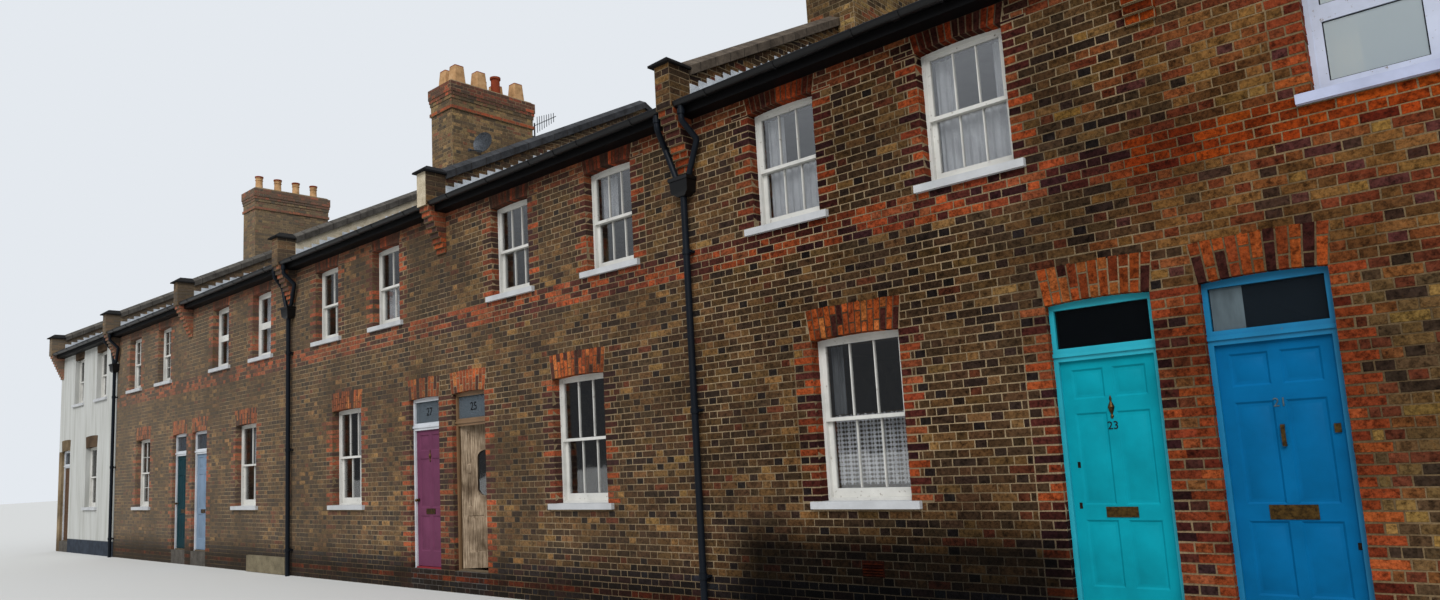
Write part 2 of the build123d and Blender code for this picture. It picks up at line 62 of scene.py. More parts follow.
# Brickwork
COURSE = 0.075
JOINT = 0.010
STRETCHER = 0.215
HEADER = 0.1025
SOLDIER = 0.065
MODULE = STRETCHER + HEADER + 2 * JOINT
BRICK_PROUD = 0.003
BRICK_EDGE = 0.003
BRICK_WOBBLE = 0.0022
BRICK_UNEVEN = 0.0008
SHADE_SPREAD = 0.18
HUE_SPREAD = 0.05
SMALLEST_CUT = 0.018
LONG_QUOIN = 0.225
SHORT_QUOIN = 0.112
PLINTH_COURSES = 6
PLINTH_RED_COURSE = 2
BAND_COURSES = (49, 50, 51, 52)
EAVES_COURSE = 70
SPLAY = 0.040
CAMBER = 0.020
ARCH_HEIGHT = 0.300

# Stacks, parapets and corbels
ROOF_SLOPE = math.radians(27)
TAN = math.tan(ROOF_SLOPE)
CORBEL_COURSES = 10
CORBEL_RED_COURSES = 3
COPING_SINK = 0.060
CAP_COURSES = ((1, 0.030), (2, 0.008), (1, 0.022), (1, 0.036), (3, 0.050))
CAP_ROWS = sum(count for count, out in CAP_COURSES)
CAP_OUT = 0.060
FLAUNCHING = 0.050
FLAUNCHING_IN = 0.045
FLAUNCHING_OUT = 0.025

# Roof and eaves
ROOF_LIFT = 0.091
ROOF_DROP = 0.130 / math.cos(ROOF_SLOPE)
EAVES_LAP = 0.235
SLATE_EDGE = 0.030
OVERHANG = 0.190
SOFFIT = 5.455
BOARD = 0.025
GUTTER_R = 0.060
GUTTER_WALL = 0.005
GUTTER_CLEAR = 0.004
GUTTER_STEPS = 10
RIDGE_WING = 0.150
RIDGE_THICK = 0.020

# Copings: the saddle's heights at its edges and ridge, and the hip at its end
COPING_RIDGE = 0.130
COPING_EDGE = 0.050
CAP_EDGE = 0.025
COPING_HIP = 0.150
COPING_HALF = 0.1575
COPING_NOSE = 0.390

# Sashes, and the wider frames of the plastic windows
FRAME_DEPTH = 0.090
BOX_FACE = 0.035
BOX_HEAD = 0.022
SUB_SILL = 0.028
SASH_SET = 0.008
SASH_DEPTH = 0.038
STILE = 0.047
TOP_RAIL = 0.038
MEETING_RAIL = 0.036
BOTTOM_RAIL = 0.085
PLASTIC_FACE = 0.062
WIDE_LOWER = 0.555
WIDE_FROM = 1.2
GLASS_THICK = 0.006
ARC_STEPS = 8

# Door leaves and their fittings
DOOR_REVEAL = 0.065
LEAF_W = 0.751
LEAF_SHIFT = 0.001
HINGE_SET = 0.3795
STILE_FACE = 0.090
MUNTIN = 0.072
BOTTOM_FACE = 0.215
LOW_PANEL = 0.515
LOCK_FACE = 0.118
MIDDLE_PANEL = 0.722
FRIEZE_FACE = 0.112
TOP_FACE = 0.082
PANEL_RINGS = ((0.0, 0.0), (0.014, 0.011), (0.030, 0.011), (0.042, 0.005))
AJAR_HOUSE = 4
AJAR_ANGLE = 30
PANE_W = 0.250
PANE_H = 0.640
PANE_MIDDLE = 1.635
PANE_R = 0.110
PANE_MOULD = 0.026
PANE_PROUD = 0.008
SLOT_PANEL = 0.062
STOP_GAP = 0.0004
KNUCKLE_R = 0.005
KNUCKLE_LENGTH = 0.100
HINGE_HEIGHTS = (0.55, 1.30, 2.10)
FLAP_W = 0.030
PLATE_THICK = 0.006
PLATE_HEIGHT = 1.110
PLATE = (0.240, 0.080)
LARGE_PLATE = (0.297, 0.100)
FLAP_EDGE = 0.012
ROSE_THICK = 0.005
ROSE_BEVEL = 0.001
KNOB_R = 0.027
KNOB_BALL = 0.0243
KNOB_ANGLES = (0.4, 0.8, 1.2, 1.6, 2.0, 2.4, 2.8, 3.1)
KNOB_REACH = 0.045
KNOB_HEIGHT = 1.277
KNOB_SET = 0.052
KNOCKER_HEIGHT = 1.922
KNOCKER_HALF = 0.089
KNOCKER_R = 0.026
KNOCKER_SHAPE = ((0.3, -1.0), (0.5, -0.8), (0.25, -0.6), (0.6, -0.4), (1.0, 0.0), (0.6, 0.3),
                 (0.25, 0.5), (0.4, 0.75), (0.15, 1.0))
PULL_HEIGHT = 1.640
PULL_HALF = 0.076
PULL_W = 0.026
LOCK_HEIGHT = 1.673
LOCK_SIZE = (0.040, 0.062, 0.014)
NOSING = 0.032
NOSING_PROUD = 0.016
NOSING_HEIGHT = 2.3625

# Chimney pots, a dish and an aerial
POT_WALL = 0.020
POT_FLOOR = 0.010
POT_R = 0.100
POT_HEIGHT = 0.420
POT_LIP = 0.014
POTS = 4
SQUARE_POT_BASE = 0.290
SQUARE_POT_TOP = 0.225
SQUARE_POT_HEIGHT = 0.400
RED_POT_R = 0.105

# Outlines of the round pots, from the foot: how far beyond the pot's radius, and the height
RINGED_POT = ((0.012, 0), (0.012, 0.040), (0, 0.060), (-0.008, 0.290), (0.006, 0.300),
              (0.006, 0.315), (-0.008, 0.325), (-0.008, 0.345), (0.004, 0.354), (0.004, 0.369),
              (-0.006, 0.378), (POT_LIP, 0.388), (POT_LIP, POT_HEIGHT), (-0.028, POT_HEIGHT),
              (-0.028, POT_FLOOR))
RED_POT = ((0, 0), (-0.008, 0.360), (POT_LIP, 0.372), (POT_LIP, POT_HEIGHT), (-0.028, POT_HEIGHT),
           (-0.028, POT_FLOOR))
POT_ROW = 0.190
SQUARE_POT_STACK = 1
SQUARE_POTS = ((1, -0.780), (1, -0.230), (1, 0.760), (-1, -0.780), (-1, 0.480))
RED_POTS = ((1, 0.210), (-1, 0.100))
DISH_R = 0.235
DISH_DEEP = 0.045
DISH_THICK = 0.005
DISH_RINGS = 6
DISH_PIN = 0.02
DISH_HEIGHT = 8.540
DISH_Y = -0.470
DISH_REACH = 0.290
DISH_TURN = 20
DISH_AIM = 80
DISH_FOOT = 0.060
ARM_LENGTH = 0.420
ARM_TILT = 22
ARM_HEAD_R = 0.028
TUBE_R = 0.012
AERIAL_LENGTH = 0.760
AERIAL_DROP = 0.520
AERIAL_R = 0.005
AERIAL_SPAN = 0.190
AERIAL_RODS = 8
MAST_LENGTH = 0.480
MAST_ABOVE = 0.060
BRACKET_GAP = 0.200

# Hopper heads and downpipes
HOPPER_TOP = 4.790
HOPPER_BOTTOM = 4.575
HOPPER_HALF = 0.145
HOPPER_DEPTH = 0.170
HOPPER_RIM = 0.040
HOPPER_WAIST = 0.170
HOPPER_TAPER = 0.022
HOPPER_RECESS = 0.020
HOPPER_WALL = 0.012
HOPPER_OUTLET = (0.057, 0.092)
LAST_LINE_IN = 0.1125
PIPE_R = 0.038
PIPE_OFF = 0.075
COLLAR = 0.009
COLLAR_HEIGHT = 0.060
COLLAR_HEIGHTS = (0.45, 2.20, 3.95)
EAR_W = 0.130
EAR_HEIGHT = 0.024
NECK_R = 0.034
NECK_TOP_X = 0.190
NECK_ELBOW_X = 0.245
NECK_FOOT_X = 0.095
NECK_DROP = 0.160
NECK_SLOPE = 0.190
NECK_END = 0.030
NECK_COLLAR_LOW = 0.090
NECK_BEND = 0.027

# Round forms
BEND_STEPS = 6
LATHE_SIDES = 24
SHARP = 32
CORNERS = ((1, 1), (-1, 1), (-1, -1), (1, -1))

# Slates
SLATE_W = 0.25
SLATE_GAUGE = 0.20
SLATE_THICK = 0.007
SLATE_GAP = 0.002
SLATE_SPREAD = 0.2
SLATES = ("#4b4e55", "#454850", "#54565a")

# Facings that differ from place to place along the row
PIER_COURSES = 37
NEW_BAND_FROM = 12.2
LOW_STOCK_FROM = 13.3
TOOTHING = 0.6
STONE_STEPS = (1, 2)
RENDERED_LINE = 3
SKIN_PIER_X = 2.5
RENDER_SKIN = 0.008
WALL_SLACK = 0.3
CAP_RED_FROM = 0.03
LEAD_UPSTAND = 0.060
LEAD_PROUD = 0.005
LEAD_CURL = 0.012
LEAD_LAP = 0.025
LEAD_RAGGED = 0.8
LEAD_BRIGHT_TO = 0.85
VENT = (9.45, 9.69, 0.525, 0.675)
VENT_RIM = 0.012
VENT_LOUVRES = 5
VENT_PROUD = 0.006
LOUVRE_PROUD = 0.010
LOUVRE_SHARE = 0.55
PLINTH_BLOCK = (-4.34, -2.68, 0.0, 0.31)
PLINTH_PROUD = 0.05
PLINTH_BEVEL = 0.006
FILM_GAP = 0.002
FILM_SHARE = (0.01, 0.30)
FILM_THICK = 0.001
FINE_EDGE = 0.001

# Paint that changes along the row: where each stretch starts, and its colour
FRAME_PAINTS = ((-20.0, "#cfd2d6"), (2.4, "#7c6146"), (10.0, "#21a0b1"), (12.35, "#08729e"))
SILL_PAINTS = ((-20.0, "#6b5c49"), (0.5, "#8e3038"), (2.4, "#6b5c49"), (10.0, "#1d8797"),
               (12.35, "#0a6795"))
WHITE_PAINTS = ((-20.0, "#d3d1ca"), (12.39, "#bfc4d4"))
WHITE_SILLS = ((-20.0, "#bfc0c1"), (12.39, "#b5bbd3"))
DOOR_PAINTS = (("door_brown", "#57402f"), ("door_teal", "#14343b"), ("door_pale", "#75889c"),
               ("door_plum", "#6b3a53"), ("door_turquoise", "#05909f"), ("door_blue", "#015f90"))
FANLIGHT_SHADES = ((-20.0, "#4a4f55"), (1.0, "#5d666d"), (4.0, "#090c0f"), (12.4, "#1a2127"))
# A thin sheet on the newest panes, whose pale colour is a painted reflection of the sky
SKY_SHEET_GAP = 0.001
SKY_SHEET_THICK = 0.0005
GASKET = 0.008
COPING_SHADES = ((-20.0, "#d8d4cc"), (1.5, "#a0a6b0"), (6.5, "#e0cdb8"))
POT_LIPS = 10.30
RED_POTS_X = (-2.95, -2.05)
RED_POTS_Y = (-0.03, 0.332)

# Windows: upright bars and cross bars in each sash, for the lower and the upper storey
FRONT_BARS = {0: ((1, 0), (1, 0)), 1: ((2, 1), (2, 1)), 2: ((1, 0), (0, 0)), 3: ((2, 0), (1, 0)),
              4: ((2, 0), (2, 0)), 5: ((2, 0), (2, 0)), 6: ((1, 0), (1, 0))}
REAR_BARS = (1, 0)
PLASTIC_HOUSE = 2
NEW_WIDE_TO = 15.0
BAR = 0.019
BAR_PROUD = 0.012
BAR_EDGE = 0.005

# Curtains: house, upper storey, window from the left, shares of width and height, folds, cloth
CURTAINS = ((5, True, 0, (0.08, 0.92), (0.04, 0.50), 9, "net_curtain"),
            (5, True, 0, (0.08, 0.34), (0.50, 0.95), 3, "net_curtain"),
            (5, True, 1, (0.08, 0.92), (0.04, 0.52), 9, "net_curtain"),
            (5, True, 1, (0.08, 0.30), (0.52, 0.95), 3, "net_curtain"),
            (5, True, 1, (0.76, 0.92), (0.52, 0.95), 3, "net_curtain"),
            (5, False, 0, (0.06, 0.94), (0.09, 0.52), 12, "lace_curtain"),
            (5, False, 0, (0.06, 0.20), (0.52, 0.95), 3, "grey_curtain"),
            (6, True, 0, (0.03, 0.20), (0.05, 0.95), 5, "yellow_curtain"),
            (6, True, 0, (0.80, 0.97), (0.05, 0.95), 5, "yellow_curtain"),
            (4, True, 1, (0.08, 0.40), (0.50, 0.95), 4, "net_curtain"),
            (2, True, 0, (0.06, 0.94), (0.05, 0.95), 9, "net_curtain"),
            (2, True, 1, (0.06, 0.94), (0.05, 0.95), 9, "net_curtain"),
            (2, False, 0, (0.30, 0.94), (0.05, 0.95), 7, "net_curtain"),
            (1, True, 1, (0.10, 0.90), (0.04, 0.50), 9, "net_curtain"),
            (3, True, 0, (0.40, 0.92), (0.04, 0.95), 6, "net_curtain"),
            (3, True, 1, (0.08, 0.92), (0.04, 0.50), 9, "net_curtain"),
            (3, False, 0, (0.45, 0.92), (0.05, 0.95), 6, "net_curtain"))
RAIL_SET = 0.255
INNER_FACE = 0.225
ROD_END = 0.06
ROD_R = 0.006
ROD_SIDES = 8
FOLD = 0.014
FOLD_AT_TOP = 0.6
FOLD_STRAY = 0.7
FOLD_WANDER = 9
FOLD_STEPS = 14
DROP_STEPS = 10

# Dust, damp, painted light and darker patches on the brickwork, by place along the row
DUST_AND_LIGHT_FROM = 9.0
ROW_END = -17.0
DUST_MOST = 0.42
# Painted light: the brickwork is lightened towards the far end of the row, leaving the near houses in
# painted shade
PAINTED_LIGHT_FROM = 4.0
PAINTED_LIGHT_BY = 1.30
DARK_PATCH_FROM = (7.6, 8.2)
DARK_PATCH_TO = (11.3, 11.75)
DULL_JOINTS = (11.8, 12.7)
DAMP_RISE = (0.25, 0.65)
DARK_PATCH_RISE = (0.78, 1.12)
BRICK_LIFT = (1.76, 1.76, 1.78, 1)
PLINTH_EDGE = (0.36, 0.38)
LACE_OPEN = 0.42

# Rough surfaces shine less than smooth ones
MATT_FROM = 0.44
DULL = 0.12
SHINY = 0.35
WHITE = "#ffffff"
BLACK = "#000000"

# Numbers and keyholes
FONT_CAP = 0.70
NUMBER_OFF = 0.003
NUMBER_HEIGHTS = {5: 1.776, 6: 1.869}
DOOR_NUMBER = 0.062
FANLIGHT_NUMBER = 0.115
NUMBER_THICK = 0.0015
NUMBER_STEPS = 4
KEYHOLE_HALF = 0.012
KEYHOLE_EDGE = 0.002
KEYHOLES = {5: ((11.517, 1.48), (11.499, 1.159)), 6: ((13.32, 0.885),)}

# Gutter brackets
STRAP_PITCH = 0.95
STRAP_W = 0.028
SOCKET_W = 0.09
STRAP_THICK = 0.007
STRAP_STEPS = 8
STRAP_QUADS = ((2, 3, 7, 6), (0, 2, 6, 4), (1, 5, 7, 3))

# The camera stands where the photograph was taken
CAMERA_PLACE = (14.353, -11.587, 1.744)
CAMERA_TURN = 41.313
CAMERA_PITCH = 7.346
CAMERA_ROLL = 3.207
CAMERA_LENS = 23.129
SENSOR = 36.0
CAMERA_SHIFT = 0.0224
CAMERA_FAR = 300

# The studio
FLOOR_HALF = 150.0
SKY_STRENGTH = 0.95
SUN_ENERGY = 2.2
SUN_SPREAD = 35
SUN_TILT = 50
SUN_TURN = 30


def linear(code):
    """A colour written as in a picture, #rrggbb, in the renderer's own scale."""
    parts = [int(code[i:i + 2], 16) / 255 for i in (1, 3, 5)]
    return tuple(p / 12.92 if p <= 0.04045 else ((p + 0.055) / 1.055) ** 2.4 for p in parts)


# Brick colours: the shade and its share, or its shares among headers and among stretchers
STOCK = (("#523c24", 0.12, 0.26), ("#453221", 0.18, 0.26), ("#3a2c1f", 0.20, 0.22),
         ("#61482c", 0.06, 0.12), ("#2d221c", 0.24, 0.08), ("#745733", 0.03, 0.04),
         ("#522c1d", 0.05, 0.02), ("#1f1a19", 0.12, 0.00))
NEW_STOCK = (("#6a4a28", 0.18, 0.22), ("#54391f", 0.20, 0.22), ("#5f2f1c", 0.18, 0.16),
             ("#7c5c30", 0.10, 0.12), ("#3a2820", 0.10, 0.06), ("#724224", 0.14),
             ("#4d2c28", 0.10, 0.08))
LOW_STOCK = (("#5f4a2e", 0.25, 0.28), ("#4a3a28", 0.20), ("#7d6236", 0.15, 0.17),
             ("#5a3020", 0.15, 0.12), ("#33281f", 0.15, 0.13), ("#6d4526", 0.10))
PIER_RED = (("#623622", 0.20), ("#432620", 0.25), ("#352424", 0.25, 0.20), ("#744c2c", 0.10, 0.15),
            ("#783e22", 0.20))
QUOIN_RED = (("#7f3a1e", 0.38), ("#6b2f1a", 0.30), ("#8d4724", 0.16), ("#4f2015", 0.16))
RED = (("#8c4122", 0.16, 0.22), ("#71331e", 0.16, 0.20), ("#45201b", 0.26),
       ("#2e1819", 0.28, 0.18), ("#7b4228", 0.14))
BRIGHT_RED = (("#82340f", 0.40), ("#6f2b0e", 0.28), ("#934012", 0.20), ("#521d10", 0.12))
ARCH_RED = (("#8c431e", 0.36), ("#74361b", 0.28), ("#99582c", 0.14), ("#391c18", 0.22))
BLUE_BLACK = (("#1f1b1c", 0.36), ("#2b2528", 0.30), ("#3a2726", 0.20), ("#25272e", 0.14))
SOOTY_RED = (("#6a2b16", 0.35), ("#4a2014", 0.35), ("#371c17", 0.20), ("#8c3a1c", 0.10))
EAVES_RED = (("#6c3822", 0.30), ("#572f20", 0.30), ("#3c231d", 0.25), ("#7e492c", 0.15))
STACK_STOCK = (("#6a5434", 0.24, 0.26), ("#57432a", 0.22, 0.24), ("#7c643e", 0.16, 0.20),
               ("#3f3222", 0.20, 0.16), ("#6a3f28", 0.10), ("#2d2620", 0.08, 0.04))
LEAD = (("#c3c8cc", 0.4), ("#eef1f3", 0.45), ("#8f949a", 0.15))
DULL_LEAD = (("#4a4b4c", 0.5), ("#6d7074", 0.2), ("#37332e", 0.3))


class Surface:
    """A flat face that bricks or slates are laid on: u runs across it, v up it."""

    def __init__(self, origin, across, up=UP):
        self.origin = Vector(origin)
        self.across = Vector(across)
        self.up = Vector(up)
        self.out = self.across.cross(self.up)

    def span(self, low, high):
        """A box seen on this face, as u and v ranges."""
        ends = sorted((Vector(c) - self.origin).dot(self.across) for c in (low, high))
        rows = sorted((Vector(c) - self.origin).dot(self.up) for c in (low, high))
        return ends[0], ends[1], rows[0], rows[1]


def street_face(y):
    """An upright face towards the street."""
    return Surface((0, y, 0), (1, 0, 0))


def end_face(x, side):
    """An upright face along the house's depth, that looks to the right or the left."""
    return Surface((x, 0, 0), (0, side, 0))


def solids_of(node):
    """The boxes of a node's separate solids, sorted by X."""
    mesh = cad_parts[node].data
    flat = np.empty(len(mesh.vertices) * 3)
    mesh.vertices.foreach_get("co", flat)
    points = flat.reshape(-1, 3)
    seen = {}
    weld = [seen.setdefault(tuple(key), len(seen)) for key in np.round(points, 4)]
    parent = list(range(len(seen)))

    def root(i):
        while parent[i] != i:
            parent[i] = parent[parent[i]]
            i = parent[i]
        return i

    for polygon in mesh.polygons:
        ids = [root(weld[v]) for v in polygon.vertices]
        for other in ids[1:]:
            parent[root(other)] = root(ids[0])
    groups = {}
    for point, key in zip(points, weld):
        groups.setdefault(root(key), []).append(point)
    return sorted((tuple(np.min(g, 0)), tuple(np.max(g, 0))) for g in groups.values())


class Pile:
    """Blocks laid on surfaces, that become one mesh with a tint for each block."""

    def __init__(self):
        self.points = []
        self.tints = []

    def add(self, surface, corners, proud, tint=(1, 1, 1), back=0.0, edge=BRICK_EDGE, tail=0.0):
        """A block over four corners (u, v), counter-clockwise from the low left.

        It stands proud of the surface, by tail more at its lower edge.
        """
        us = [c[0] for c in corners]
        vs = [c[1] for c in corners]
        mid_u = sum(us) / 4
        mid_v = sum(vs) / 4
        shrink_u = 1 - 2 * edge / max(max(us) - min(us), 4 * edge)
        shrink_v = 1 - 2 * edge / max(max(vs) - min(vs), 4 * edge)
        for index, (u, v) in enumerate(corners):
            out = proud + (tail if index < 2 else 0.0)
            self.points.append(surface.origin + surface.across * (mid_u + (u - mid_u) * shrink_u)
                               + surface.up * (mid_v + (v - mid_v) * shrink_v) + surface.out * out)
        for u, v in corners:
            self.points.append(surface.origin + surface.across * u + surface.up * v
                               + surface.out * back)
        self.tints.append(tint)

    def rect(self, surface, u0, u1, v0, v1, proud, **more):
        self.add(surface, ((u0, v0), (u1, v0), (u1, v1), (u0, v1)), proud, **more)

    def build(self, name, material, body="row", slot=None):
        """Make the mesh: a front and four sides for each block."""
        count = len(self.tints)
        base = np.arange(count)[:, None, None] * 8
        quads = np.array([(0, 1, 2, 3), (4, 5, 1, 0), (5, 6, 2, 1), (6, 7, 3, 2), (7, 4, 0, 3)])
        mesh = bpy.data.meshes.new(name)
        mesh.from_pydata([tuple(p) for p in self.points], [],
                         (base + quads[None]).reshape(-1, 4).tolist())
        colour = mesh.attributes.new("tint", "FLOAT_COLOR", "POINT")
        values = np.ones((count, 8, 4))
        values[:, :, :3] = np.array(self.tints)[:, None, :]
        colour.data.foreach_set("color", values.reshape(-1))
        return place(name, mesh, material, body)


def place(name, mesh, material, body="row"):
    """Put a finished mesh in the scene, on its body."""
    piece = bpy.data.objects.new(name, mesh)
    bpy.context.scene.collection.objects.link(piece)
    mesh.materials.append(LOOKS[material])
    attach(piece, body)
    return piece


def circle(centre, side, other, radius, count=LATHE_SIDES):
    """Points round a centre, in the plane of two directions."""
    turns = [2 * math.pi * n / count for n in range(count)]
    return [centre + (side * math.cos(a) + other * math.sin(a)) * radius for a in turns]


def rounded_outline(x, y, half_x, half_y, radius):
    """The points of an oblong with rounded corners."""
    found = []
    for quarter, (side_x, side_y) in enumerate(CORNERS):
        for n in range(BEND_STEPS + 1):
            angle = math.pi / 2 * (quarter + n / BEND_STEPS)
            found.append((x + side_x * (half_x - radius) + radius * math.cos(angle),
                          y + side_y * (half_y - radius) + radius * math.sin(angle)))
    return found


class Forms:
    """Closed forms gathered into one mesh, each a run of matching rings."""

    def __init__(self):
        self.points = []
        self.faces = []

    def rings(self, rings, closed=True):
        """Join rings of points one to the next, and close both ends."""
        count = len(rings[0])
        base = len(self.points)
        for ring in rings:
            self.points += [tuple(p) for p in ring]
        for k in range(len(rings) - 1):
            a, b = base + k * count, base + (k + 1) * count
            for n in range(count):
                m = (n + 1) % count
                self.faces.append((a + n, a + m, b + m, b + n))
        if closed:
            last = base + (len(rings) - 1) * count
            self.faces.append(tuple(base + n for n in reversed(range(count))))
            self.faces.append(tuple(last + n for n in range(count)))

    def box(self, x0, x1, y0, y1, z0, z1):
        self.rings([[(x0, y0, z), (x1, y0, z), (x1, y1, z), (x0, y1, z)] for z in (z0, z1)])

    def prism_x(self, outline, x0, x1, side=1):
        """A length along the row; a side of -1 turns it to the rear."""
        self.rings([[(x, side * y, z) for y, z in outline] for x in (x0, x1)])

    def prism_y(self, outline, y0, y1):
        self.rings([[(x, y, z) for x, z in outline] for y in (y0, y1)])

    def lathe(self, centre, outline, along=UP):
        """Turn an outline of radii and heights about an axis through a place."""
        side = along.orthogonal().normalized()
        self.rings([circle(Vector(centre) + along * height, side, along.cross(side), radius)
                    for radius, height in outline])

    def tube(self, path, radius):
        """A round tube whose rings stand square to its path."""
        points = [Vector(p) for p in path]
        side = (points[1] - points[0]).orthogonal()
        found = []
        for n, point in enumerate(points):
            ahead = (points[min(n + 1, len(points) - 1)] - point).normalized()
            behind = (point - points[max(n - 1, 0)]).normalized()
            along = (ahead + behind).normalized()
            side = (side - along * side.dot(along)).normalized()
            found.append(circle(point, side, along.cross(side), radius))
        self.rings(found)

    def moved(self, start, matrix):
        """Move what was added since a place in the list of points."""
        self.points[start:] = [tuple(matrix @ Vector(p)) for p in self.points[start:]]

    def mesh(self, name):
        """The forms as a bare mesh."""
        mesh = bpy.data.meshes.new(name)
        mesh.from_pydata(self.points, [], self.faces)
        return mesh

    def build(self, name, material, replaced=(), body="row", slot=None, turn=None):
        """Make the piece, smooth but for its sharp edges."""
        mesh = self.mesh(name)
        shaped = bmesh.new()
        shaped.from_mesh(mesh)
        bmesh.ops.recalc_face_normals(shaped, faces=shaped.faces)
        shaped.to_mesh(mesh)
        shaped.free()
        mesh.polygons.foreach_set("use_smooth", [True] * len(mesh.polygons))
        mesh.set_sharp_from_angle(angle=math.radians(SHARP))
        if turn:
            mesh.transform(turn)
        piece = place(name, mesh, material, body)
        if replaced:
            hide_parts(*replaced)
        return piece


def pick(palette, header, rng):
    """A brick's colour: one of the palette's, a little lighter or darker."""
    roll = rng.random()
    for code, *shares in palette:
        roll -= shares[0] if header else shares[-1]
        if roll <= 0:
            break
    shade = rng.uniform(1 - SHADE_SPREAD, 1 + SHADE_SPREAD)
    return tuple(min(1.0, c * shade * rng.uniform(1 - HUE_SPREAD, 1 + HUE_SPREAD)) for c in linear(code))


def cut(rect, holes):
    """What is left of a rectangle outside the holes."""
    pieces = [rect]
    for h0, h1, k0, k1 in holes:
        kept = []
        for u0, u1, v0, v1 in pieces:
            if h0 >= u1 or h1 <= u0 or k0 >= v1 or k1 <= v0:
                kept.append((u0, u1, v0, v1))
                continue
            kept.append((u0, h0, v0, v1))
            kept.append((h1, u1, v0, v1))
            a, b = max(u0, h0), min(u1, h1)
            kept.append((a, b, v0, k0))
            kept.append((a, b, k1, v1))
        pieces = [p for p in kept if p[1] - p[0] > SMALLEST_CUT and p[3] - p[2] > SMALLEST_CUT]
    return pieces


def all_of(palette):
    """One palette for all the bricks of a wall."""
    return lambda u, row: palette


def courses(v0, v1):
    """Each course between two heights that isn't too thin: its number, bottom and top."""
    for row in range(math.floor(v0 / COURSE), math.ceil(v1 / COURSE)):
        bottom = max(v0, row * COURSE + JOINT / 2)
        top = min(v1, (row + 1) * COURSE - JOINT / 2)
        if top - bottom >= SMALLEST_CUT:
            yield row, bottom, top


def flemish(pile, surface, area, holes, palette_at, rng, low=None, high=None):
    """Lay Flemish bond over an area, cut around holes and under or over sloped lines."""
    u0, u1, v0, v1 = area
    for row, bottom, top in courses(v0, v1):
        near = [h for h in holes if h[2] < top and h[3] > bottom]
        start = (row % 2) * MODULE / 2
        u = start + math.floor((u0 - start) / MODULE) * MODULE
        while u < u1:
            for length in (STRETCHER, HEADER):
                a, b = max(u, u0 + JOINT / 2), min(u + length, u1 - JOINT / 2)
                u += length + JOINT
                if b - a < SMALLEST_CUT:
                    continue
                for p0, p1, q0, q1 in cut((a, b, bottom, top), near):
                    tint = pick(palette_at((p0 + p1) / 2, row), length == HEADER, rng)
                    lay_brick(pile, surface, p0, p1, q0, q1, tint, rng, low, high)


def lay_brick(pile, surface, u0, u1, v0, v1, tint, rng, low=None, high=None, back=0.0):
    """One brick with slightly uneven corners, cut to sloped lines where they are given."""
    corners = []
    for u, v in ((u0, v0), (u1, v0), (u1, v1), (u0, v1)):
        if low:
            v = max(v, low(u))
        if high:
            v = min(v, high(u))
        corners.append((u + rng.uniform(-BRICK_WOBBLE, BRICK_WOBBLE),
                        v + rng.uniform(-BRICK_WOBBLE, BRICK_WOBBLE)))
    if max(corners[3][1] - corners[0][1], corners[2][1] - corners[1][1]) < SMALLEST_CUT / 2:
        return
    pile.add(surface, corners, BRICK_PROUD + rng.uniform(-BRICK_UNEVEN, BRICK_UNEVEN), tint, back=back)


def quoins(pile, surface, edge, side, v0, v1, reveal, palette, rng, row_offset):
    """Red bricks up the side of an opening, long and short in turn, seen in the reveal too."""
    holes = []
    for row, bottom, top in courses(v0, v1):
        width = LONG_QUOIN if (row + row_offset) % 2 == 0 else SHORT_QUOIN
        ends = sorted((edge - side * BRICK_PROUD, edge + side * (width - JOINT)))
        joint = sorted((edge, edge + side * width))
        holes.append((joint[0], joint[1], bottom - JOINT / 2, top + JOINT / 2))
        tint = pick(palette, width == SHORT_QUOIN, rng)
        lay_brick(pile, surface, ends[0], ends[1], bottom, top, tint, rng, back=-reveal)
    return holes


def soldiers(pile, surface, mid, width, spring, top, reveal, palette, rng, level):
    """A flat arch of upright bricks, full and half ones staggered, splayed at its ends."""
    count = 2 * round(width / (SOLDIER + JOINT) / 2) + 1
    pitch = (width + JOINT) / count
    full = STRETCHER / (STRETCHER + HEADER)

    def corner(share, height):
        spread = width / 2 + SPLAY * height
        rise = CAMBER * (1 - (2 * share - 1) ** 2)
        rise *= (1 - height) if level else 1
        return mid + (2 * share - 1) * spread, spring + rise + (top - spring) * height

    half_joint = JOINT / 2 / (top - spring)
    for n in range(count):
        a = (n * pitch) / width
        b = min(1.0, (n * pitch + pitch - JOINT) / width)
        split = full if n % 2 == 0 else 1 - full
        stages = ((0.0, 1.0),) if level else ((0.0, split - half_joint), (split + half_joint, 1.0))
        for low, high in stages:
            start = -BRICK_PROUD / (top - spring) if low == 0.0 else low
            corners = (corner(a, start), corner(b, start), corner(b, high), corner(a, high))
            pile.add(surface, corners, BRICK_PROUD, pick(palette, False, rng),
                     back=-reveal if low == 0.0 else 0.0)


def arch_holes(mid, width, spring, top):
    """The splayed space of an arch, a rectangle for each course that it crosses."""
    found = []
    for row in range(math.floor(spring / COURSE), math.ceil(top / COURSE)):
        low, high = max(spring, row * COURSE), min(top + CAMBER, (row + 1) * COURSE)
        share = ((low + high) / 2 - spring) / (top - spring)
        half = width / 2 + SPLAY * share + JOINT
        found.append((mid - half, mid + half, low, high))
    return found


# Materials


LOOKS = {}


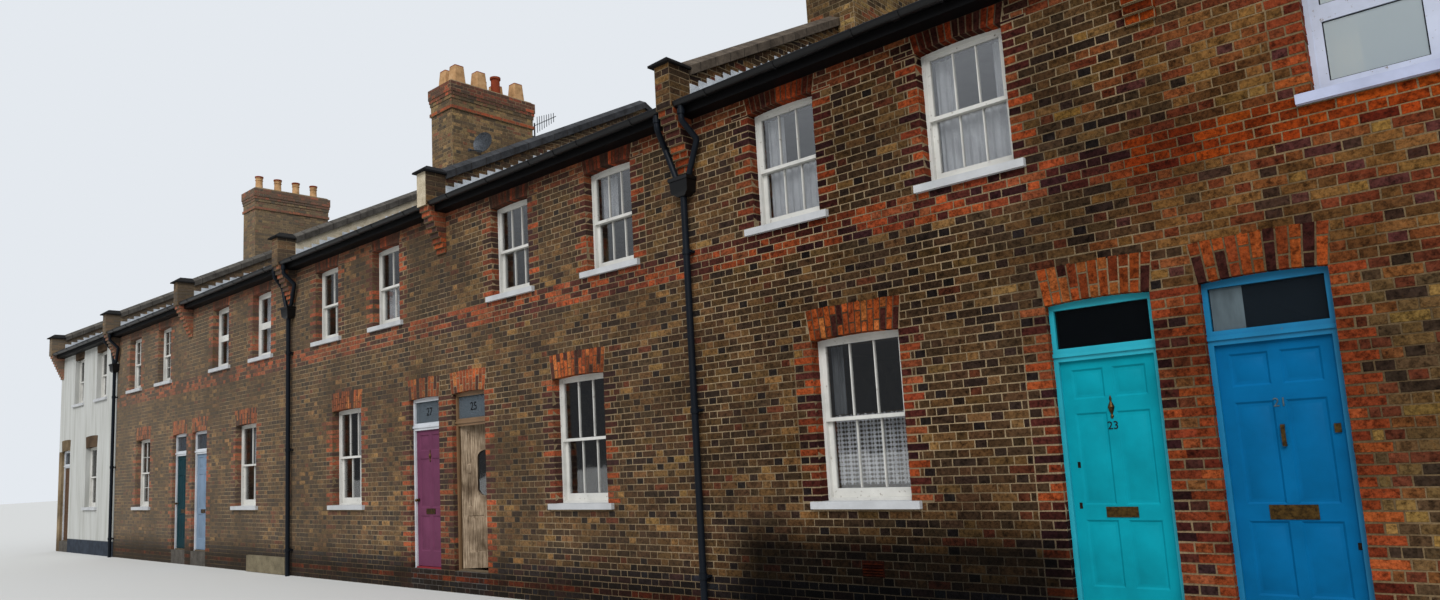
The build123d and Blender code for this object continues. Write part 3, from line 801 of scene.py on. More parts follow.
class Nodes:
    """A node tree, with the ways to make and mix factors and colours in it."""

    def __init__(self, tree):
        self.nodes = tree.nodes
        self.links = tree.links

    def feed(self, value, socket):
        """Join an output to a socket, or write a plain value or a colour code in it."""
        if isinstance(value, bpy.types.NodeSocket):
            self.links.new(value, socket)
        else:
            socket.default_value = (*linear(value), 1) if isinstance(value, str) else value

    def add(self, kind, inputs=(), **settings):
        """A new node with its settings, and what some of its inputs hold."""
        node = self.nodes.new("ShaderNode" + kind)
        for name, value in settings.items():
            setattr(node, name, value)
        for socket, value in dict(inputs).items():
            self.feed(value, node.inputs[socket])
        return node

    def noise(self, scale, detail=4.0, rough=0.55, stretch=None):
        """Noise over the object's own place, so that it is true to scale everywhere."""
        source = self.add("TexCoord").outputs["Object"]
        texture = self.add("TexNoise", {"Scale": scale, "Detail": detail, "Roughness": rough})
        if stretch:
            source = self.add("Mapping", {"Scale": stretch, "Vector": source}).outputs["Vector"]
        self.feed(source, texture.inputs["Vector"])
        return texture.outputs["Fac"]

    def ramp(self, fac, stops):
        """Colours along a factor: stops are (place, #rrggbb)."""
        node = self.add("ValToRGB", {"Fac": fac})
        elements = node.color_ramp.elements
        while len(elements) < len(stops):
            elements.new(0.5)
        for element, (spot, code) in zip(elements, stops):
            element.position = spot
            element.color = (*linear(code), 1)
        return node.outputs["Color"]

    def patches(self, stops, *spread):
        """Colours that follow a noise."""
        return self.ramp(self.noise(*spread), stops)

    def blend(self, kind, fac, a, b):
        """Mix two colours; fac, a and b are outputs, colour codes or plain values."""
        inputs = {"Factor": fac, 6: a, 7: b}
        return self.add("Mix", inputs, data_type="RGBA", blend_type=kind).outputs[2]

    def sums(self, kind, a, b=0.0):
        """Arithmetic on factors; either can be a plain value."""
        return self.add("Math", {0: a, 1: b}, operation=kind).outputs[0]

    def along(self, axis):
        """The object's own place along one axis, in metres."""
        spot = self.add("TexCoord").outputs["Object"]
        return self.add("SeparateXYZ", {"Vector": spot}).outputs[axis]

    def graded(self, axis, start, end, first=0.0, last=1.0):
        """A factor that goes evenly from one value to another between two places along an axis."""
        ends = {"From Min": start, "From Max": end, "To Min": first, "To Max": last}
        spread = self.add("MapRange", ends)
        self.feed(self.along(axis), spread.inputs["Value"])
        return spread.outputs["Result"]

    def between(self, axis, low, high):
        """A factor that is 1 between two places along an axis."""
        value = self.along(axis)
        above = self.sums("GREATER_THAN", value, low)
        return self.sums("MULTIPLY", above, self.sums("LESS_THAN", value, high))

    def along_row(self, stops):
        """Colours that change at places along the row: stops are (x where it starts, #rrggbb)."""
        colour = stops[0][1]
        value = self.along("X")
        for start, code in stops[1:]:
            colour = self.blend("MIX", self.sums("GREATER_THAN", value, start), colour, code)
        return colour

    def joints(self, axis, pitch):
        """A factor that is 1 in thin joints at an even pitch along an axis."""
        step = self.sums("FLOORED_MODULO", self.along(axis), pitch)
        return self.sums("LESS_THAN", step, JOINT)


class Look(Nodes):
    """A material: a first colour, what is laid over it, and its relief."""

    def __init__(self, name, colour, roughness=0.8, metallic=0.0):
        material = bpy.data.materials.new(name)
        material.use_nodes = True
        super().__init__(material.node_tree)
        self.colour = colour
        self.put({"Base Color": colour, "Roughness": roughness, "Metallic": metallic,
                  "Specular IOR Level": DULL if roughness > MATT_FROM else SHINY})
        LOOKS[name] = material

    def put(self, values):
        """Give the shader's inputs their values."""
        for socket, value in values.items():
            self.feed(value, self.nodes["Principled BSDF"].inputs[socket])

    def shade(self, fac, over):
        """Darken or tint the colour so far."""
        self.colour = self.blend("MULTIPLY", fac, self.colour, over)

    def cover(self, fac, over):
        """Lay another colour over the colour so far."""
        self.colour = self.blend("MIX", fac, self.colour, over)

    def darken_low(self):
        """Brickwork gets darker towards the ground, most of all by the last house but one."""
        low = self.graded("Z", *DAMP_RISE)
        self.shade(1.0, self.blend("MIX", low, "#a9a5a1", WHITE))
        # A darker patch low on the wall by the last house but one
        start, end = self.graded("X", *DARK_PATCH_FROM), self.graded("X", *DARK_PATCH_TO, 1.0, 0.0)
        near = self.sums("MULTIPLY", start, end)
        self.shade(self.sums("MULTIPLY", near, self.graded("Z", *DARK_PATCH_RISE, 1.0, 0.0)), "#66696d")

    def finish(self, height, strength, distance):
        """Show the colour, and raise the surface where a factor is high."""
        bump = {"Strength": strength, "Distance": distance, "Height": height}
        self.put({"Base Color": self.colour, "Normal": self.add("Bump", bump).outputs["Normal"]})


def brick():
    """Fired clay: each brick's own tint, mottled, pitted and stained by soot."""
    look = Look("brick", "#5a442b", 0.9)
    look.colour = look.add("Attribute", attribute_name="tint").outputs["Color"]
    fine = look.noise(42.0, 5.0, 0.65)
    look.shade(0.85, look.ramp(fine, ((0.32, "#6a6462"), (0.5, "#d0cdca"), (0.7, WHITE))))
    look.shade(1.0, BRICK_LIFT)
    cloud = ((0.34, "#4a4440"), (0.47, "#e4e0da"), (0.56, WHITE), (0.72, "#ffe2b4"))
    look.shade(0.75, look.patches(cloud, 17.0, 6.0, 0.72))
    look.cover(look.patches(((0.62, BLACK), (0.75, WHITE)), 130.0, 3.0), "#2a211b")
    look.shade(0.7, look.patches(((0.38, "#9a948c"), (0.62, WHITE)), 0.7, 5.0, 0.6))
    dust = look.patches(((0.6, BLACK), (0.8, WHITE)), 9.0, 6.0, 0.7)
    look.cover(look.sums("MULTIPLY", dust, 0.14), "#84674a")
    # Painted light: lighter towards the far end of the row, so the near houses look shaded
    look.shade(1.0, look.graded("X", DUST_AND_LIGHT_FROM, PAINTED_LIGHT_FROM, 1.0, PAINTED_LIGHT_BY))
    look.cover(look.graded("X", DUST_AND_LIGHT_FROM, ROW_END, 0.0, DUST_MOST), "#938777")
    look.darken_low()
    look.put({"Specular IOR Level": 0.05})
    look.finish(fine, 0.55, 0.004)


def mortar(name, shades):
    """Tan lime mortar, darkened by soot in places, and duller at the newest house."""
    look = Look(name, shades[0], 0.95)
    fine = look.noise(60.0, 4.0, 0.6)
    look.colour = look.ramp(fine, tuple(zip((0.35, 0.6, 0.8), shades)))
    look.shade(0.8, look.patches(((0.38, "#8a857d"), (0.6, WHITE)), 0.9, 5.0, 0.6))
    look.shade(look.graded("X", *DULL_JOINTS), "#dbd5cb")
    look.darken_low()
    look.finish(fine, 0.5, 0.003)


def painted(name, colour, roughness=0.35, wear=0.15, under="#6a5b4a", scale=14.0, stops=None):
    """Old gloss paint: brush marks, a little dirt and worn spots that show what is under."""
    look = Look(name, colour, roughness)
    dirt = look.patches(((0.3, "#cfcfcf"), (0.65, WHITE)), 3.0, 4.0, 0.6)
    if stops:
        look.colour = look.along_row(stops)
    look.shade(0.6, dirt)
    if wear:
        chips = look.patches(((0.72 - wear, BLACK), (0.74 - wear, WHITE)), scale, 8.0, 0.75)
        look.cover(chips, under)
    look.finish(look.noise(60.0, 3.0, 0.5, (1.0, 1.0, 0.12)), 0.12, 0.002)
    return look


def timber():
    """Bare weathered timber: upright grain, grey where it is dry and dark in the hollows."""
    look = Look("bare_timber", "#86705a", 0.8)
    grain = look.noise(9.0, 7.0, 0.65, (9.0, 9.0, 0.5))
    look.colour = look.ramp(grain, ((0.3, "#4d3b2b"), (0.46, "#8d7a64"), (0.6, "#ae9a82"),
                                    (0.78, "#c6b69f")))
    look.shade(0.75, look.patches(((0.35, "#6e6154"), (0.62, WHITE)), 2.6, 5.0, 0.6))
    look.finish(grain, 0.35, 0.002)


def render():
    """Painted cement render over a dark painted plinth, with rain streaks."""
    look = Look("painted_render", "#b9b9b3", 0.85)
    streaks = ((0.25, "#9c9b93"), (0.5, "#b6b6b1"), (0.8, "#c1c2be"))
    wall = look.patches(streaks, 2.4, 5.0, 0.6, (3.0, 3.0, 0.25))
    look.colour = look.patches(((0.3, "#272c34"), (0.7, "#39404a")), 6.0)
    look.cover(look.graded("Z", *PLINTH_EDGE), wall)
    look.finish(look.noise(90.0, 5.0, 0.7), 0.35, 0.003)


def slate():
    """Grey slate in each slate's own tint, with lichen."""
    look = Look("slate", "#4b4d52", 0.55)
    look.colour = look.add("Attribute", attribute_name="tint").outputs["Color"]
    grain = look.noise(24.0, 5.0, 0.6, (1.0, 0.4, 0.4))
    look.shade(0.7, look.ramp(grain, ((0.3, "#b0b0b0"), (0.7, WHITE))))
    look.cover(look.patches(((0.62, BLACK), (0.7, WHITE)), 5.0, 8.0, 0.75), "#7c7b66")
    look.finish(grain, 0.3, 0.003)


def stone(name, dark, middle, light, roughness=0.9, joint=None, stops=None, sooty_from=None):
    """Weathered stone, concrete or clay with lichen and soot, and joints where it has them."""
    look = Look(name, middle, roughness)
    look.colour = look.patches(((0.28, dark), (0.5, middle), (0.75, light)), 5.0, 8.0, 0.7)
    if stops:
        look.shade(1.0, look.along_row(stops))
    if joint:
        look.cover(look.joints(*joint), "#2b2622")
    if sooty_from:
        reach = look.sums("ABSOLUTE", look.along("Y"))
        soot = look.sums("GREATER_THAN", reach, sooty_from)
        look.cover(look.sums("MULTIPLY", soot, 0.9), "#141415")
    grit = look.noise(85.0, 4.0, 0.6)
    look.shade(0.6, look.ramp(grit, ((0.3, "#a8a8a8"), (0.6, WHITE))))
    look.finish(grit, 0.5, 0.004)


def metal(name, colour, roughness, metallic, tarnish):
    """Metal with spots of tarnish."""
    look = Look(name, colour, roughness, metallic)
    spots = look.noise(30.0, 6.0, 0.65)
    look.colour = look.ramp(spots, ((0.35, tarnish), (0.6, colour)))
    look.finish(spots, 0.15, 0.001)


def pot_clay():
    """Buff clay with red lips on the tall pots, and two round pots all red."""
    look = Look("pot_clay", "#a3835f", 0.85)
    patch = look.noise(6.0, 7.0, 0.65)
    look.colour = look.ramp(patch, ((0.28, "#8a6a48"), (0.5, "#b48c62"), (0.75, "#c9a47a")))
    red = look.ramp(patch, ((0.3, "#6e2f1c"), (0.7, "#8f4228")))
    lips = look.sums("GREATER_THAN", look.along("Z"), POT_LIPS)
    pots = look.sums("MULTIPLY", look.between("X", *RED_POTS_X), look.between("Y", *RED_POTS_Y))
    look.cover(look.sums("MAXIMUM", lips, pots), red)
    look.finish(look.noise(70.0, 4.0, 0.6), 0.4, 0.003)


def cloth(name, colour, alpha, pattern=0.0):
    """Thin window cloth; lace has a lattice of open diamonds at a pitch in metres."""
    look = Look(name, colour, 0.9)
    look.shade(0.7, look.patches(((0.3, "#bdbdbd"), (0.7, WHITE)), 14.0, 3.0, 0.5, (1.0, 1.0, 0.3)))
    look.put({"Base Color": look.colour, "Alpha": alpha})
    if pattern:
        reach = 0.0
        for axis in "XZ":
            step = look.sums("FLOORED_MODULO", look.along(axis), pattern)
            step = look.sums("SUBTRACT", step, pattern / 2)
            reach = look.sums("ADD", look.sums("ABSOLUTE", step), reach)
        threads = look.sums("GREATER_THAN", reach, pattern * LACE_OPEN)
        look.put({"Alpha": look.sums("MAXIMUM", threads, 0.12)})


def glazing(name, colour, alpha, ior, stops=None):
    """Old window glass: dark, slightly wavy, and partly seen through."""
    look = Look(name, colour, 0.03)
    if stops:
        look.colour = look.along_row(stops)
    look.put({"Alpha": alpha, "IOR": ior, "Specular IOR Level": 0.5})
    look.finish(look.noise(2.2, 2.0, 0.4), 0.12, 0.02)


def make_materials():
    brick()
    mortar("mortar", ("#7b6952", "#988466", "#a99476"))
    mortar("arch_mortar", ("#4a3a2c", "#5f4c3a", "#705b46"))
    render()
    slate()
    painted("white_paint", "#d3d1ca", 0.45, 0.10, "#7b6f62", 22.0, WHITE_PAINTS)
    painted("sill_paint", "#d0d0cd", 0.5, 0.08, "#8a857c", 12.0, WHITE_SILLS)
    painted("black_iron", "#050507", 0.4, 0.03, "#1d130d", 30.0)
    painted("blue_black_pipe", "#11161d", 0.45, 0.03, "#2a1c14", 30.0)
    painted("black_board", "#060506", 0.55, 0.05, "#1f1813", 8.0)
    stone("coping_stone", "#3c3936", "#65625f", "#85827d", 0.9, ("Y", 0.27), COPING_SHADES, -FRONT_Y)
    stone("step_stone", "#37342f", "#55504a", "#6c675e")
    stone("tan_render", "#a2947a", "#c8baa0", "#d9ceb8")
    pot_clay()
    stone("ridge_clay", "#33302f", "#4d4643", "#625a55", joint=("X", 0.45))
    stone("plinth_stone", "#5d5544", "#7a705a", "#8f846b")
    stone("plaster", "#55524c", "#6c6962", "#7c7973")
    stone("floor_boards", "#38291c", "#4b3827", "#5f4932")
    stone("lead", "#a4a9ae", "#cdd2d6", "#e3e7ea", 0.6)
    glazing("window_glass", "#0b0d0e", 0.30, 4.5)
    # Pale glass: its colour is a painted reflection of the sky, and its gloss is real
    glazing("sky_painted_glass", "#c9d6d9", 0.48, 2.2)
    glazing("dark_glass", "#060708", 0.62, 1.3, FANLIGHT_SHADES)
    metal("brass", "#5c4522", 0.42, 0.85, "#2e2212")
    metal("pewter", "#54646c", 0.45, 0.3, "#3b4950")
    metal("bronze", "#2e2115", 0.45, 0.7, "#17110c")
    painted("door_frame_paint", "#b7bbc0", 0.4, 0.05, "#6b5c49", 9.0, FRAME_PAINTS)
    painted("threshold_paint", "#6b5c49", 0.6, 0.12, "#4d4234", 9.0, SILL_PAINTS)
    cloth("net_curtain", "#f1f4f8", 0.92)
    cloth("lace_curtain", "#f4f5f7", 1.0, 0.042)
    cloth("grey_curtain", "#8d9195", 0.85)
    cloth("yellow_curtain", "#d9c07a", 1.0)
    cloth("pale_film", "#59656a", 1.0)
    painted("black_lettering", "#14161a", 0.5, 0.0)
    metal("grey_steel", "#4c5055", 0.5, 0.4, "#2c2f33")
    for name, code in DOOR_PAINTS:
        painted(name, code, 0.5, 0.0).put({"Specular IOR Level": 0.06})
    timber()


def dress(node, material):
    """Give a carried-over solid its finish."""
    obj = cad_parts[node]
    for slot in obj.material_slots:
        slot.material = LOOKS[material]
    if not obj.material_slots:
        obj.data.materials.append(LOOKS[material])


# Walls


FRONT_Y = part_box("door_piers")[0][1]
ROW_LEFT, ROW_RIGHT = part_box("party_walls")[0][0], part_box("party_walls")[1][0]
FRONT = street_face(FRONT_Y)
REAR = Surface((0, -FRONT_Y, 0), (-1, 0, 0))
WINDOWS = solids_of("window_frames")
DOORWAYS = solids_of("door_frames")
BACK_DOORS = solids_of("back_doors")
SILLS = solids_of("window_sills")
PIERS = solids_of("door_piers")
STACKS = solids_of("chimney_stacks")
CORBELS = solids_of("parapet_ends")
CREAM_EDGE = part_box("upper_cream_wall")[1][0]
HOPPERS = solids_of("hoppers")
SPANS = [(low[0], high[0]) for low, high in solids_of("roof_front")]
LEAF_LOW, LEAF_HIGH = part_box("door_1")
ROOF_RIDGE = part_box("roof_front")[1][2] + ROOF_LIFT
PARAPET_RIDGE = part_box("party_walls")[1][2] - COPING_SINK
CORBEL_TOP = PARAPET_RIDGE + FRONT_Y * TAN + COPING_SINK
EAVE_AT_FACE = ROOF_RIDGE + FRONT_Y * TAN
GUTTER_Y = FRONT_Y - OVERHANG - GUTTER_R
GUTTER_RIM = EAVE_AT_FACE - EAVES_LAP * TAN - SLATE_EDGE - GUTTER_CLEAR
STORIES = 3.0


def on_front(box):
    """Whether a solid lies in the street half of the row."""
    return box[0][1] < 0


def middle_x(box):
    """The middle of a solid along the row."""
    return (box[0][0] + box[1][0]) / 2


def house_at(x):
    """The index of the house at a place along the row, from the left."""
    return min(HOUSES - 1, max(0, int((x - ROW_LEFT) / (ROW_RIGHT - ROW_LEFT) * HOUSES)))


def reveal_of(box):
    """How far a frame is set back in its wall; a door frame's nosing stands before it."""
    if box in DOORWAYS:
        return DOOR_REVEAL
    return min(abs(box[0][1] - FRONT_Y), abs(box[1][1] + FRONT_Y))


def depth_y(box, depth):
    """A place inside a wall, at a depth from the face that a window stands in."""
    return FRONT_Y + depth if on_front(box) else -FRONT_Y - depth


def inset(outer, side, bottom, top):
    """The glazed rectangle inside a sash's rails."""
    a, b, low, high = outer
    return a + side, b - side, low + bottom, high - top


def lights_of(box):
    """Each sash or casement of a window: its outer rectangle, its depth and its glazing."""
    (x0, _, sill), (x1, _, crown) = box
    spring = crown - CAMBER
    house = house_at(middle_x(box))
    a, b = x0 + BOX_FACE, x1 - BOX_FACE
    low, high = sill + SUB_SILL, spring - BOX_HEAD
    depth = reveal_of(box) + SASH_SET
    middle = (sill + spring) / 2
    wide = x1 - x0 > WIDE_FROM
    if not wide and not (house == PLASTIC_HOUSE and sill > STORIES):
        lap = MEETING_RAIL / 2
        upper = (a, b, middle - lap, high)
        lower = (a, b, low, middle + lap)
        return [(upper, depth, inset(upper, STILE, MEETING_RAIL, TOP_RAIL)),
                (lower, depth + SASH_DEPTH, inset(lower, STILE, BOTTOM_RAIL, MEETING_RAIL))]
    split = low + WIDE_LOWER if wide else middle
    columns = 2 if wide else 1
    found = []
    for n in range(columns):
        left = a + n * (b - a) / columns
        right = left + (b - a) / columns
        for outer in ((left, right, low, split), (left, right, split, high)):
            found.append((outer, depth, inset(outer, PLASTIC_FACE, PLASTIC_FACE, PLASTIC_FACE)))
    return found


def panes_of(box):
    """The boxes of a window's panes, each in the middle of its sash."""
    found = []
    for _, depth, (a, b, low, high) in lights_of(box):
        y = depth_y(box, depth + SASH_DEPTH / 2)
        found.append(((a, y - GLASS_THICK / 2, low), (b, y + GLASS_THICK / 2, high)))
    return found


def field_palette(surface, plain):
    """Which palette a brick takes, by its place on a wall."""
    toothing = random.Random(SEEDS["toothing"])

    def choose(u, row):
        x = surface.origin.x + surface.across.x * u
        if row < PLINTH_COURSES:
            return SOOTY_RED if row == PLINTH_RED_COURSE else BLUE_BLACK
        if not plain and row < PIER_COURSES and any(a[0] < x < b[0] for a, b in PIERS):
            return PIER_RED if x > NEW_BAND_FROM - WALL_SLACK else RED
        if row in BAND_COURSES and not plain:
            return BRIGHT_RED if x > NEW_BAND_FROM else RED
        if row >= EAVES_COURSE:
            return STOCK if plain else EAVES_RED
        if x + toothing.uniform(-TOOTHING, TOOTHING) < NEW_BAND_FROM:
            return STOCK
        return LOW_STOCK if row < PIER_COURSES and x > LOW_STOCK_FROM and not plain else NEW_STOCK
    return choose


def opening_bricks(pile, surface, box, plain, rng):
    """Quoins and arch for one opening; returns the room that they take."""
    u0, u1, foot, v1 = surface.span(*box)
    house = house_at(middle_x(box))
    spring = v1 - CAMBER
    reveal = reveal_of(box)
    bright = house == NEW_HOUSE and not plain
    palette = STOCK if plain else (QUOIN_RED if bright else RED)
    upper = spring > STORIES
    top = SOFFIT if upper else spring + ARCH_HEIGHT
    under = 0.0 if box in DOORWAYS and house in STONE_STEPS else foot
    holes = [(u0, u1, under, v1)]
    offset = 0 if surface.across.x > 0 else 1
    for edge, side in ((u0, -1), (u1, 1)):
        holes += quoins(pile, surface, edge, side, foot, spring, reveal, palette, rng, offset)
    arch_palette = SOOTY_RED if upper else ARCH_RED
    soldiers(pile, surface, (u0 + u1) / 2, u1 - u0, spring, top, reveal, arch_palette, rng, upper)
    return holes + arch_holes((u0 + u1) / 2, u1 - u0, spring, top)


def brick_wall(side, surface, boxes, holes):
    """A whole street or garden front: openings first, then the field around them."""
    rng = random.Random(SEEDS[side])
    plain = side == "rear"
    pile = Pile()
    for box in boxes:
        if box[1][0] > CREAM_EDGE:
            holes += opening_bricks(pile, surface, box, plain, rng)
    holes += [surface.span(*sill) for sill in SILLS if on_front(sill) != plain]
    start, end = surface.span((CREAM_EDGE, 0, 0), (ROW_RIGHT, 0, SOFFIT))[:2]
    flemish(pile, surface, (start, end, 0, SOFFIT), holes, field_palette(surface, plain), rng)
    pile.build(f"{side}_bricks", "brick")


def make_walls():
    """Bricks on the street front, on the rear and on the two ends of the row."""
    front = [b for b in WINDOWS if on_front(b)] + DOORWAYS
    rear = [b for b in WINDOWS if not on_front(b)] + BACK_DOORS
    brick_wall("front", FRONT, front, [VENT])
    brick_wall("rear", REAR, rear, [])
    rng = random.Random(SEEDS["ends"])
    ends = Pile()
    half = -FRONT_Y
    for x, side in ((ROW_RIGHT, 1), (ROW_LEFT, -1)):
        flemish(ends, end_face(x, side), (-half, half, 0, PARAPET_RIDGE), [], all_of(STOCK), rng,
                high=parapet_top)
    ends.build("end_bricks", "brick")


def parapet_top(y):
    """The top of a party wall, under its coping, at a place between front and rear."""
    return PARAPET_RIDGE - abs(y) * TAN


def roof_line(y):
    """The top of the slates at a place between front and rear."""
    return ROOF_RIDGE - abs(y) * TAN


def wall_faces():
    """Both faces of each party wall above the roofs: its number and its surface."""
    found = []
    for line, (low, high) in enumerate(solids_of("party_walls")):
        if high[0] < ROW_RIGHT - WALL_SLACK:
            found.append((line, end_face(high[0], 1)))
        if low[0] > ROW_LEFT + WALL_SLACK:
            found.append((line, end_face(low[0], -1)))
    return found


def make_parapets():
    """Bricks, render and stepped lead on the party walls where they pass the roofs."""
    rng = random.Random(SEEDS["parapets"])
    bricks, render, lead = Pile(), Pile(), Pile()
    half = -FRONT_Y
    for line, face in wall_faces():
        if line == RENDERED_LINE:
            for a, b in ((-half, 0.0), (0.0, half)):
                corners = ((a, roof_line(a)), (b, roof_line(b)), (b, parapet_top(b)), (a, parapet_top(a)))
                render.add(face, corners, RENDER_SKIN, edge=0.0)
        else:
            flemish(bricks, face, (-half, half, roof_line(half), PARAPET_RIDGE), [], all_of(STOCK),
                    rng, low=roof_line, high=parapet_top)
        stepped_lead(lead, face, -half, half, roof_line, rng)
    for box in CORBELS:
        corbel_bricks(bricks, render, box, rng)
    bricks.build("parapet_bricks", "brick")
    render.build("parapet_render", "tan_render")
    lead.build("flashings", "lead")


def stepped_lead(pile, face, start, end, line, rng):
    """Lead turned up against brickwork in steps, one for each course that the roof climbs."""
    run = COURSE / TAN
    u = start
    while u < end:
        a, b = u, min(u + run, end)
        low_end = -FRONT_Y - abs((a + b) / 2) < LEAD_BRIGHT_TO
        share = 1.0 if low_end else rng.uniform(0.0, LEAD_RAGGED)
        top = max(line(a), line(b)) + LEAD_UPSTAND * share
        lift = LEAD_PROUD + rng.uniform(0.0, LEAD_CURL)
        corners = ((a, line(a)), (b + LEAD_LAP, line(b)), (b + LEAD_LAP, top), (a, top))
        pile.add(face, corners, lift, pick(LEAD if low_end else DULL_LEAD, False, rng),
                 edge=FINE_EDGE, tail=rng.uniform(0, LEAD_CURL))
        u += run


def corbel_bricks(bricks, render, box, rng):
    """The stepped courses under a parapet's end, on its front and its two sides."""
    low, high = box
    side = -1 if low[1] < 0 else 1
    outer = max(abs(low[1]), abs(high[1]))
    wall = -FRONT_Y
    step = (outer - wall) / CORBEL_COURSES
    skin = side < 0 and abs(middle_x(box) - SKIN_PIER_X) < WALL_SLACK
    for row in range(math.ceil((CORBEL_TOP - low[2]) / COURSE)):
        out = wall + step * min(row + 1, CORBEL_COURSES)
        v0 = low[2] + row * COURSE + JOINT / 2
        v1 = min(CORBEL_TOP, v0 + COURSE - JOINT)
        if v1 - v0 < SMALLEST_CUT:
            continue
        palette = RED if row < CORBEL_COURSES - 1 else STOCK
        if row < CORBEL_RED_COURSES:
            palette = BRIGHT_RED
        front = Surface((0, side * out, 0), (-side, 0, 0))
        u0, u1 = front.span(low, high)[:2]
        if skin and row >= CORBEL_COURSES - 1:
            render.rect(front, u0, u1, v0 - JOINT / 2, v1 + JOINT / 2, RENDER_SKIN, edge=0.0)
        else:
            for a, b in halves(u0, u1, row):
                lay_brick(bricks, front, a, b, v0, v1, pick(palette, row % 2 == 0, rng), rng)
        for x, across in ((high[0], 1), (low[0], -1)):
            a, b = sorted((side * across * wall, side * across * out))
            long = b - a > STRETCHER
            for c, d in halves(a, b, row + 1) if long else [(a + JOINT / 2, b - JOINT / 2)]:
                if d - c > SMALLEST_CUT:
                    tint = pick(palette, False, rng)
                    lay_brick(bricks, end_face(x, across), c, d, v0, v1, tint, rng)


def halves(u0, u1, row):
    """One long brick, or two short ones in every second course."""
    a, b = u0 + JOINT / 2, u1 - JOINT / 2
    middle = (a + b) / 2
    return [(a, b)] if row % 2 else [(a, middle - JOINT / 2), (middle + JOINT / 2, b)]


def shaft_of(stack):
    """Half a stack's shaft both ways, and the top of its brickwork."""
    low, high = stack
    return (high[0] - low[0]) / 2 - CAP_OUT, (high[1] - low[1]) / 2 - CAP_OUT, high[2] - FLAUNCHING


def make_stacks():
    """Bricks on the four faces of each stack, with a red string course and a corbelled cap."""
    rng = random.Random(SEEDS["stacks"])
    bricks, lead = Pile(), Pile()
    for stack in STACKS:
        half_x, half_y, top = shaft_of(stack)
        middle = Vector((middle_x(stack), (stack[0][1] + stack[1][1]) / 2, top))
        stages = [(0.0, roof_line(half_y) - top, -CAP_ROWS * COURSE, STACK_STOCK)]
        foot = -CAP_ROWS
        for count, out in CAP_COURSES:
            palette = SOOTY_RED if out > CAP_RED_FROM else STACK_STOCK
            if foot == -CAP_ROWS:
                palette = BRIGHT_RED
            stages.append((out, foot * COURSE, (foot + count) * COURSE, palette))
            foot += count
        for out, v0, v1, palette in stages:
            for across in ((1, 0, 0), (-1, 0, 0), (0, 1, 0), (0, -1, 0)):
                reach, width = (half_y, half_x) if across[0] else (half_x, half_y)
                face = Surface(middle, across)
                face.origin = middle + face.out * (reach + out)
                sloped = across[1] != 0 and out == 0.0
                line = (lambda u: roof_line(u) - top) if sloped else None
                flemish(bricks, face, (-width - out, width + out, v0, v1), [], all_of(palette), rng, line)
                if sloped:
                    stepped_lead(lead, face, -width, width, line, rng)
    bricks.build("stack_bricks", "brick")
    lead.build("stack_flashings", "lead")


def make_vents():
    """A louvred clay air brick under one window, and a rendered block at the foot of the wall."""
    vents = Pile()
    rng = random.Random(SEEDS["vents"])
    u0, u1, v0, v1 = VENT
    vents.rect(FRONT, *VENT, VENT_PROUD, tint=pick(SOOTY_RED, False, rng))
    pitch = (v1 - v0 - 2 * VENT_RIM) / VENT_LOUVRES
    for n in range(VENT_LOUVRES):
        low = v0 + VENT_RIM + n * pitch
        vents.rect(FRONT, u0 + VENT_RIM, u1 - VENT_RIM, low, low + pitch * LOUVRE_SHARE, LOUVRE_PROUD,
                   tint=pick(BRIGHT_RED, False, rng), back=VENT_PROUD, tail=LOUVRE_PROUD)
    vents.build("air_brick", "brick")
    block = Pile()
    block.rect(FRONT, *PLINTH_BLOCK, PLINTH_PROUD, edge=PLINTH_BEVEL)
    block.build("plinth_block", "plinth_stone")


def fanlight_film():
    """Pale film over the left part of the last house's fanlight."""
    film = Pile()
    low, high = solids_of("fanlights")[NEW_HOUSE]
    start, end = (low[0] + (high[0] - low[0]) * share for share in FILM_SHARE)
    film.rect(street_face(low[1] - FILM_GAP), start, end, low[2] + FILM_GAP, high[2] - FILM_GAP,
              FILM_THICK, edge=FINE_EDGE)
    film.build("fanlight_film", "pale_film")


# Windows and doors


PANES = [pane for box in WINDOWS for pane in panes_of(box)]


def framing(forms, outer, inner, y0, y1):
    """Stiles and rails between an outer and an inner rectangle."""
    a, b, low, high = outer
    c, d, under, over = inner
    forms.box(a, c, y0, y1, low, high)
    forms.box(d, b, y0, y1, low, high)
    forms.box(c, d, y0, y1, low, under)
    forms.box(c, d, y0, y1, over, high)


def cambered_head(x0, x1, low, spring):
    """The outline of a head whose top follows a cambered arch."""
    outline = [(x0, low), (x1, low)]
    for n in range(ARC_STEPS + 1):
        t = 1 - 2 * n / ARC_STEPS
        outline.append(((x0 + x1) / 2 + t * (x1 - x0) / 2, spring + CAMBER * (1 - t * t)))
    return outline


